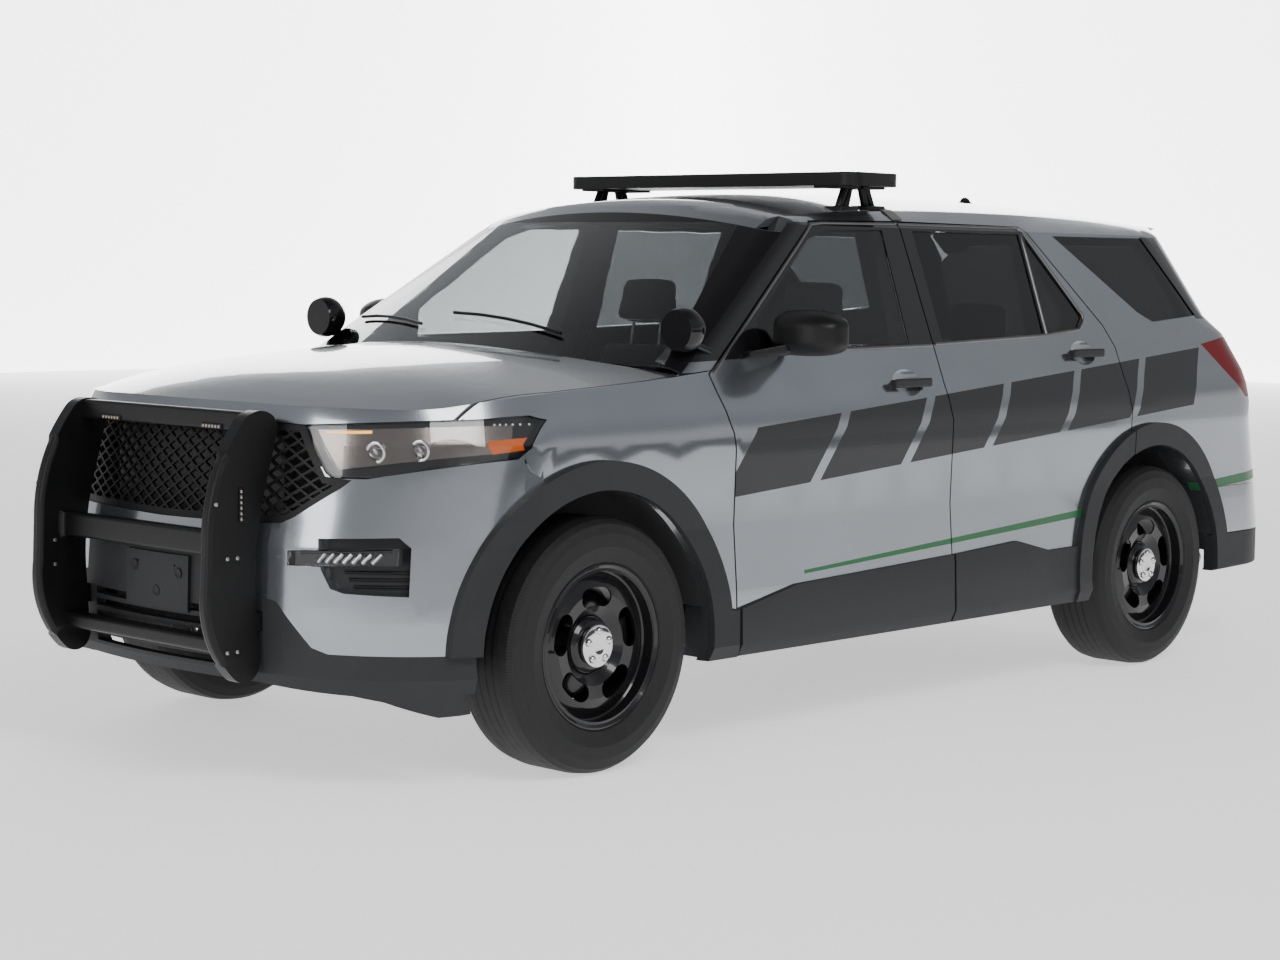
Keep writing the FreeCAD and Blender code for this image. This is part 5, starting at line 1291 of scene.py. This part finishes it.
@dataclass
class HeadLamp(SidePart):
    """What shows through one headlamp's cover."""

    # Corners and rows as distance from the vehicle's middle and height.
    BOWL = ((0.530, 1.024), (0.885, 1.040), (0.905, 0.965), (0.610, 0.915))
    TURN_LAMP = ((0.874, 0.996), (0.906, 1.004), (0.910, 0.970), (0.884, 0.960))
    PROJECTORS = ((0.690, 0.966), (0.778, 0.972))
    LED_ROWS = ((0.775, 0.805, 1.034), (0.868, 0.896, 1.042))
    SHEET_START = Vector((3.5, 0, 1.0))

    def build(self) -> None:
        """Adds the bowl, the projectors and the light strips."""
        looks, housing, sign = self.looks, Skin("lamp_housings"), self.side.value
        self._sheet("lamp_bowl", self.BOWL, 0.006, looks.bulb)
        axis = self.out(1.0, 0.45, 0.0)
        seats = [housing.nose(sign * y, z, 0.007) for y, z in self.PROJECTORS]
        ring = Bench.drum("ring", axis, 0.032, 0.012, 0.003)
        Bench.step(ring, axis, (0.006, 0.0), (0.003, -0.004))
        eye = Bench.dome("eye", axis, 0.024, 0.014)
        for index, seat in enumerate(seats):
            place = Matrix.Translation(seat)
            piece = Bench.copy(ring, self.name(f"projector_ring_{index}"), place)
            Bench.dress(piece, looks.chrome, "lamp_body")
            piece = Bench.copy(eye, self.name(f"projector_eye_{index}"), place)
            Bench.dress(piece, looks.cover, "lamp_lens")
        for model in (ring, eye):
            bpy.data.objects.remove(model)
        path = [housing.nose(sign * (0.560 + 0.014 * i), 1.018 + 0.0006 * i, 0.012) for i in range(9)]
        Bench.dress(Bench.tube(self.name("running_light"), path, 0.0042), looks.glow, "lamp_body")
        for index, (inner, outer, z) in enumerate(self.LED_ROWS):
            places = [housing.nose(sign * (inner + (outer - inner) * i / 5), z, 0.006) for i in range(6)]
            chips = Bench.spread(Bench.dome("chip", self.out(1, 0.6, 0), 0.0032, 0.002), "chip", places)
            Bench.dress(Bench.join(self.name(f"led_row_{index}"), chips), looks.led, "lamp_body")
        self._sheet("turn_lamp", self.TURN_LAMP, 0.010, looks.amber)

    def _sheet(self, name: str, corners: Outline, lift: float, material: Material) -> None:
        """Adds a thin four-sided sheet that follows the front of the lamp's housing.

        Args:
            name: name of the piece.
            corners: its four corners.
            lift: its distance off the housing.
            material: its finish.
        """
        start = self.SHEET_START
        piece = Bench.start("plane", self.name(name), start, turn=(0, math.pi / 2, 0), size=0.2)
        goals = [(self.side.value * y, z) for y, z in corners]
        middle_y, middle_z = (sum(goal[i] for goal in goals) / 4 for i in (0, 1))
        goals.sort(key=lambda goal: math.atan2(goal[1] - middle_z, goal[0] - middle_y))
        order = sorted(piece.data.vertices, key=lambda v: math.atan2(v.co.z - start.z, v.co.y))
        moves = [(v.index, Vector((0, y - v.co.y, z - v.co.z))) for v, (y, z) in zip(order, goals)]
        for index, move in moves:
            Bench.edit(piece, lambda: bpy.ops.mesh.select_mode(type="VERT"), "DESELECT")
            piece.data.vertices[index].select = True
            bpy.ops.object.mode_set(mode="EDIT")
            bpy.ops.transform.translate(value=move)
            bpy.ops.object.mode_set(mode="OBJECT")
        Bench.divide(piece, 12)
        Bench.project(piece, ("lamp_housings",), "x", lift)
        Bench.modify(piece, "SOLIDIFY", thickness=0.003, offset=1.0)
        Bench.dress(Bench.outward(piece), material, "lamp_body")


@dataclass
class FogLamp(SidePart):
    """Lamp unit and ribs in one side's bumper opening."""

    rod: float = 0.0045
    bar: float = 0.0075
    rib_end: float = 0.800
    lens_low: float = 0.660
    lens_high: float = 0.686

    def build(self) -> None:
        """Adds the ribs, the brow over the lens and the bars behind it."""
        looks, sign = self.looks, self.side.value
        tray = Skin("lamp_housings", "front_bumper", "front_valance")
        ribs = []
        for z in (0.632, 0.612, 0.592):
            inner = 0.650 + (0.640 - z) * 0.6
            path = [tray.nose(sign * (inner + (self.rib_end - inner) * i / 6), z, 0.004) for i in range(7)]
            ribs.append(Bench.tube("rib", path, self.rod))
        Bench.dress(Bench.join(self.name("fog_ribs"), ribs), looks.black, "trim_black")
        lens = Skin("front_lamps")
        path = [lens.nose(sign * (0.556 + 0.0275 * i), self.lens_high + 0.0014 * i, 0.0005) for i in range(9)]
        Bench.dress(Bench.tube(self.name("fog_brow"), path, self.rod), looks.piano, "gloss_black")
        back = Vector((-0.010, 0, 0))
        bars = []
        for y in (0.600 + 0.022 * i for i in range(7)):
            ends = (lens.nose(sign * y, self.lens_low), lens.nose(sign * (y + 0.018), self.lens_high))
            bars.append(Bench.tube("bar", [end + back for end in ends], self.bar))
        Bench.dress(Bench.join(self.name("fog_optics"), bars), looks.chrome, "lamp_body")


@dataclass
class CornerFiller(SidePart):
    """Small painted panel that closes the corner between headlamp, bumper and wheel arch."""

    sink: float = 0.0015
    thickness: float = 0.002

    # Top, rear and low corner, as distance from the front axle and height.
    CORNERS = ((0.332, 0.936), (0.236, 0.930), (0.330, 0.842))

    def build(self) -> None:
        """Lays a patch just under the surfaces around the corner."""
        around = Skin("front_bumper", "front_fenders")
        top, back, low = (around.flank(self.side, front(x), z) + self.out(0, -self.sink, 0)
                          for x, z in self.CORNERS)
        piece = Bench.start("plane", self.name("corner_filler"), size=0.2)
        loop = [piece.data.loops[index].vertex_index for index in piece.data.polygons[0].loop_indices]
        for index, corner in zip(loop, (top, back, back + low - top, low)):
            piece.data.vertices[index].co = corner
        Bench.divide(piece, 6)
        Bench.modify(piece, "SOLIDIFY", thickness=self.thickness, offset=0.0)
        Bench.dress(Bench.outward(piece), self.looks.paint, "paint")


@dataclass
class Wheel(SidePart):
    """Chrome cap and nuts of one wheel, with its valve."""

    axle: Axle
    cap_radius: float = 0.064
    nut_circle: float = 0.045
    nut: float = 0.0125
    nuts: int = 5

    def build(self) -> None:
        """Adds a dished cap with a domed middle and five nut covers, then the valve."""
        x = self.axle.value
        body = self.name(self.axle.word + "_wheel")
        face = abs(Skin(body).flank(self.side, x + 0.012, WHEEL_Z).y)
        way = self.out(0, 1, 0)
        cap = Bench.move(Bench.drum("cap", way, self.cap_radius, 0.012, 0.004, 48),
                         self.out(x, face - 0.002, WHEEL_Z))
        Bench.step(cap, way, (0.010, 0.0), (0.022, 0.006), (0.006, -0.002))
        Bench.smooth(cap)
        turns = [math.radians(90 + 360 / self.nuts * index) for index in range(self.nuts)]
        places = [self.out(x + self.nut_circle * math.cos(turn), face + 0.005,
                           WHEEL_Z + self.nut_circle * math.sin(turn)) for turn in turns]
        covers = Bench.spread(Bench.dome("nut", way, self.nut, 0.012), "nut", places)
        piece = Bench.join(self.name("hub_cap_" + self.axle.word), [cap, *covers])
        Bench.dress(piece, self.looks.chrome, "rim", body)
        ends = (self.out(x + 0.190, face - 0.020, WHEEL_Z), self.out(x + 0.180, face + 0.004, WHEEL_Z))
        valve = Bench.tube(self.name("valve_" + self.axle.word), ends, 0.004)
        Bench.dress(valve, self.looks.rubber, "rim", body)


@dataclass
class PushBumper(Part):
    """Rounded copy of the push bumper with its bolts and lights."""

    upright_y: float = 0.412
    half: float = 0.023
    light_y: float = 0.245
    chips: int = 6
    roll: float = 0.015
    rolled: tuple[float, float] = (0.37, 0.97)

    # Bolts on the outer and the inner faces of the uprights, as distance from the front axle and height.
    OUTER_BOLTS = ((0.967, 0.668), (0.932, 0.668), (0.967, 0.403), (0.932, 0.403), (1.005, 0.823))
    INNER_BOLTS = ((0.978, 0.652), (0.978, 0.579))

    def build(self) -> None:
        """Copies and rounds the node, then adds what is bolted on."""
        self._roll(Shell("push_bumper", 50).build(self.looks.powder, "steel_black"))
        for side in Side:
            sign, word = side.value, side.word
            y = sign * (self.upright_y + self.half)
            bolts = self._bolts(self.OUTER_BOLTS, y, sign)
            bolts += self._bolts(self.INNER_BOLTS, sign * (self.upright_y - self.half), -sign)
            Bench.dress(Bench.join("upright_bolts_" + word, bolts), self.looks.steel, "steel")
            self._light("side_light", word, ((front(0.911), y - sign * 0.004, 0.766),
                                             (front(0.926), y + sign * 0.006, 0.866)),
                        Bench.dome("chip", (0, sign, 0), 0.0055, 0.0025),
                        [(front(0.9185), y + sign * 0.0055, 0.777 + 0.0155 * i) for i in range(self.chips)])
            y = sign * self.light_y
            self._light("grille_light", word, ((front(0.868), y - 0.050, 1.019),
                                               (front(0.8785), y + 0.050, 1.035)),
                        Bench.dome("chip", (1, 0, 0), 0.0058, 0.0025),
                        [(front(0.878), y + 0.0145 * (i - 2.5), 1.027) for i in range(self.chips)])

    @staticmethod
    def _bolts(seats: Outline, y: float, sign: int) -> list[Piece]:
        """Bolt heads on one face of an upright, which looks along Y with a sign."""
        way, y = (0, sign, 0), y + sign * 0.0015
        return [Bench.drum("bolt", way, 0.0065, 0.007, 0.002, 12, (front(x), y, z)) for x, z in seats]

    def _light(self, name: str, word: str, corners: tuple[Any, Any], chip: Piece,
               places: Sequence[Any]) -> None:
        """Adds one light module.

        Args:
            name: name of the module.
            word: the side's word.
            corners: two opposite corners of its case.
            chip: model of its chips.
            places: where the chips sit.
        """
        case = Bench.block(f"{name}_{word}", *corners, 0.003)
        Bench.dress(case, self.looks.black, "gloss_black")
        row = Bench.join(f"{name}_chips_{word}", Bench.spread(chip, "chip", places))
        Bench.dress(row, self.looks.bulb, "lamp_body")

    def _roll(self, piece: Piece) -> None:
        """Rounds the front outline of both uprights."""
        Bench.edit(piece, lambda: None, "DESELECT")
        mesh = piece.data
        beside: dict[tuple[int, int], list[Vector]] = {}
        for polygon in mesh.polygons:
            for key in polygon.edge_keys:
                beside.setdefault(key, []).append(polygon.normal)
        rim: dict[int, float] = {}
        for vertex in mesh.vertices:
            level = round(vertex.co.z * 100)
            rim[level] = max(rim.get(level, -9.0), vertex.co.x)
        low, high = self.rolled
        for edge in mesh.edges:
            normals = beside.get(edge.key, [])
            ends = [mesh.vertices[index].co for index in edge.vertices]
            flank = any(abs(normal.y) > 0.95 for normal in normals)
            nose = any(normal.x > 0.12 and abs(normal.y) < 0.3 for normal in normals)
            outer = all(abs(abs(abs(end.y) - self.upright_y) - self.half) < 0.001 for end in ends)
            ahead = all(end.x > rim[round(end.z * 100)] - 0.03 and low < end.z < high for end in ends)
            edge.select = flank and nose and outer and ahead
        bpy.ops.object.mode_set(mode="EDIT")
        bpy.ops.mesh.select_mode(type="EDGE")
        bpy.ops.mesh.bevel(offset=self.roll, segments=4, clamp_overlap=False)
        bpy.ops.object.mode_set(mode="OBJECT")
        Bench.smooth(piece, 50)


@dataclass
class FrontDetails(Part):
    """Plate bracket cups and windscreen wipers."""

    bracket_x: float = front(0.8905)
    wiper: float = 0.0055
    wiper_lift: float = 0.014

    # Middles of the cups, as Y and height.
    CUPS = ((-0.105, 0.598), (0.105, 0.590), (0.0, 0.530))
    # Y and X, from the front axle, of each wiper's foot and tip.
    WIPERS = ((0.42, -0.36, -0.12, -0.40), (-0.22, -0.345, -0.70, -0.50))

    def build(self) -> None:
        """Adds the cups on the bracket, then the wipers."""
        ahead = (1, 0, 0)
        cup = Bench.drum("cup", ahead, 0.017, 0.004, 0.001)
        Bench.step(cup, ahead, (0.003, 0.0), (0.009, -0.0025))
        for piece in Bench.spread(cup, "bracket_cup_{}", [(self.bracket_x, y, z) for y, z in self.CUPS]):
            Bench.dress(piece, self.looks.black, "trim_black")
        screen = Skin("windshield", "cowl", "hood")
        for index, (foot_y, foot_x, tip_y, tip_x) in enumerate(self.WIPERS):
            arm = [screen.top(front(foot_x) + (tip_x - foot_x) * i / 4, foot_y + (tip_y - foot_y) * i / 4,
                              self.wiper_lift) for i in range(5)]
            Bench.dress(Bench.tube(f"wiper_{index}", arm, self.wiper), self.looks.black, "trim_black")


@dataclass
class RoofDetails(Part):
    """Straps of the light bar and the stub antenna."""

    strap_x: float = front(-1.745)
    strap_y: float = 0.640
    strap_size: Point = (0.056, 0.116, 1.0)
    strap_end: float = 1.74
    antenna_x: float = front(-3.104)

    def build(self) -> None:
        """Adds both straps and the antenna."""
        for side in Side:
            place = (self.strap_x, side.value * self.strap_y, 1.9)
            strap = Bench.start("grid", "roof_strap_" + side.word, place, self.strap_size,
                                x_subdivisions=4, y_subdivisions=24, size=1.0)
            Bench.project(strap, ("body_sides", "roof_panel"), "z", 0.002)
            Bench.cull(strap, lambda middle, normal: middle.z > self.strap_end or abs(normal.z) < 0.5)
            Bench.modify(strap, "SOLIDIFY", thickness=0.0025, offset=1.0)
            Bench.dress(Bench.smooth(strap), self.looks.strap, "steel")
        seat = Skin("roof_panel").top(self.antenna_x, 0.0, -0.002)
        base = Bench.move(Bench.drum("antenna_base", UP, 0.034, 0.014, 0.005), seat + 0.006 * UP)
        Bench.step(base, UP, (0.012, 0.012))
        stub = Bench.move(Bench.dome("stub", UP, 0.019, 0.014), seat + 0.022 * UP)
        Bench.dress(Bench.join("antenna", [base, stub]), self.looks.black, "trim_black")


@dataclass
class LightBar(Part):
    """Slim light bar on low splayed feet."""

    foot_y: float = 0.585
    foot_x: float = 0.075
    bar_depth: float = 0.045
    pad: Point = (0.048, 0.040, 0.014)
    pad_top: float = 0.008
    arm: float = 0.014
    lean: float = 0.018

    def build(self) -> None:
        """Copies the bar without its plain feet, then adds new feet."""
        bar = Shell("light_bar", 40).build(self.looks.black, "gloss_black")
        low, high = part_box("light_bar")
        under = high[2] - self.bar_depth
        Bench.cull(bar, lambda middle, _: middle.z < under - 0.012)
        x = (low[0] + high[0]) / 2
        roof = Skin("roof_panel", "body_sides")
        width, length, depth = self.pad
        for side in Side:
            y = side.value * self.foot_y
            parts = []
            for step in (-1, 1):
                seat = roof.top(x + step * self.foot_x, y)
                parts.append(Bench.block("pad", seat - Vector((width, length, depth)),
                                         seat + Vector((width, length, self.pad_top)), 0.005))
                for lean in (-self.lean, self.lean):
                    top = (x + step * 0.040 + lean * 0.6, y, under + 0.01)
                    parts.append(Bench.tube("arm", [seat + Vector((lean, 0, 0)), top], self.arm))
            Bench.dress(Bench.join("bar_foot_" + side.word, parts), self.looks.black, "trim_black")


@dataclass(frozen=True)
class Pad:
    """One kind of cushion, built once around its own middle and copied to both sides."""

    name: str
    size: Point
    lean: float
    slim: float
    x: float
    y: float
    z: float
    channels: bool = True
    crown: float = 0.012
    channel_depth: float = 0.006
    channel_half: float = 0.008

    @property
    def upright(self) -> bool:
        """True for a pad that is leant on, not sat on."""
        return self.size[2] > self.size[0]

    def build(self, fabric: Material) -> None:
        """Blows up the pad, cuts its channels and copies it to its places.

        Args:
            fabric: its finish.
        """
        pad = self._form()
        turn = Matrix.Rotation(math.radians(self.lean), 4, "Y")
        for side in Side:
            place = Matrix.Translation((self.x, side.value * self.y, self.z))
            piece = Bench.copy(pad, f"{self.name}_{side.word}", place @ turn)
            Bench.dress(piece, fabric, "fabric")
            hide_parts("seats")
        bpy.data.objects.remove(pad)

    def _form(self) -> Piece:
        """Rounded block whose top is slimmer, with its faces crowned and its channels cut."""
        size, slim = self.size, self.slim
        pad = Bench.start("cube", self.name, scale=tuple(side * 0.94 for side in size), size=1.0)
        if self.upright:
            Bench.shape(pad, lambda _, normal: normal.z > 0.9, lambda: bpy.ops.transform.resize(
                value=(slim, slim + 0.08, 1), center_override=(0, 0, size[2] * 0.47)))
        Bench.modify(pad, "BEVEL", width=min(size) * 0.22, segments=3, limit_method="ANGLE")
        self._blow(pad)
        if self.channels:
            self._channels(pad)
        Bench.modify(pad, "SUBSURF", levels=1, render_levels=1)
        return Bench.smooth(pad, 60)

    def _blow(self, pad: Piece) -> None:
        """Inflates the pad as cloth over a fine even mesh, until its crown is reached."""
        Bench.modify(pad, "REMESH", mode="VOXEL", voxel_size=0.012)
        Bench.pick(pad)
        cloth = pad.modifiers.new("cloth", "CLOTH")
        cloth.settings.use_pressure = True
        cloth.settings.uniform_pressure_force = 4.0
        cloth.settings.effector_weights.gravity = 0.0
        rest = [vertex.co.copy() for vertex in pad.data.vertices]
        scene = bpy.context.scene
        for step in range(1, 21):
            scene.frame_set(step)
            shaped = pad.evaluated_get(bpy.context.evaluated_depsgraph_get()).data
            if max((a.co - b).length for a, b in zip(shaped.vertices, rest)) > self.crown:
                break
        bpy.ops.object.modifier_apply(modifier=cloth.name)
        scene.frame_set(1)

    def _channels(self, pad: Piece) -> None:
        """Presses two sewn channels into the side that is used."""
        axis = 0 if self.upright else 2
        seam = self.size[1] / 2 * 0.62
        for vertex in pad.data.vertices:
            if vertex.co[axis] / self.size[axis] < 0.25:
                continue
            for middle in (seam, -seam):
                off = (vertex.co.y - middle) / self.channel_half
                vertex.co[axis] -= math.exp(-off ** 2) * self.channel_depth


@dataclass
class Seats(Part):
    """Front seats and rear bench as separate pads on their posts."""

    hip_x: float = front(-1.445)
    hip_z: float = 0.690
    front_y: float = 0.395
    bench_x: float = rear(0.620)
    post: float = 0.006

    def build(self) -> None:
        """Adds every pad, then what holds them."""
        x, z, y, back = self.hip_x, self.hip_z, self.front_y, self.bench_x
        for pad in (
            Pad("front_cushion", (0.445, 0.500, 0.130), -5.0, 1.0, x + 0.112, y, z - 0.101),
            Pad("front_backrest", (0.150, 0.485, 0.545), -11.5, 0.72, x - 0.125, y, z + 0.260),
            Pad("front_headrest", (0.100, 0.270, 0.165), -6.0, 0.8, x - 0.203, y, z + 0.677, False),
            Pad("rear_cushion", (0.445, 0.600, 0.115), -1.5, 1.0, back + 0.110, 0.305, 0.623),
            Pad("rear_backrest", (0.120, 0.600, 0.545), -13.5, 0.85, back - 0.135, 0.305, 0.920),
            Pad("rear_headrest", (0.085, 0.250, 0.150), -5.0, 0.85, back - 0.200, 0.430, 1.296, False),
        ):
            pad.build(self.looks.fabric)
        rods = []
        for side in Side:
            sign = side.value
            for off in (-0.07, 0.07):
                at = sign * y + off
                ends = ((x - 0.178, at, z + 0.47), (x - 0.203, at, z + 0.64))
                rods.append(Bench.tube("post", ends, self.post))
            for at in (sign * 0.38, sign * 0.48):
                ends = ((back - 0.195, at, 1.13), (back - 0.201, at, 1.26))
                rods.append(Bench.tube("post", ends, self.post))
            for off in (-0.236, 0.236):
                at = sign * y + off
                rods.append(Bench.block("hinge", (x - 0.130, at - 0.010, z - 0.185),
                                        (x - 0.080, at + 0.010, z + 0.060), 0.008))
            rods.append(Bench.block("leg", (back - 0.200, sign * 0.30 - 0.04, 0.552),
                                    (back - 0.150, sign * 0.30 + 0.04, 0.70), 0.008))
        frames = Bench.dress(Bench.join("seat_posts", rods), self.looks.steel, "steel")
        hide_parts("seats")


def main() -> None:
    """Builds the vehicle's looks in order."""
    logging.basicConfig(level=logging.INFO, format="%(name)s: %(message)s")
    looks = Finishes()
    CarriedNodes(looks).build()
    Bodywork(looks).build()
    for side in Side:
        for kind in (WindowTrim, DoorTrim, HeadLamp, FogLamp, CornerFiller):
            kind(looks, side).build()
        for axle in Axle:
            Wheel(looks, side, axle).build()
    for kind in (PushBumper, FrontDetails, RoofDetails, LightBar, Seats):
        kind(looks).build()
    Stage().build()
    Camera().build()


if __name__ == "__main__":
    main()
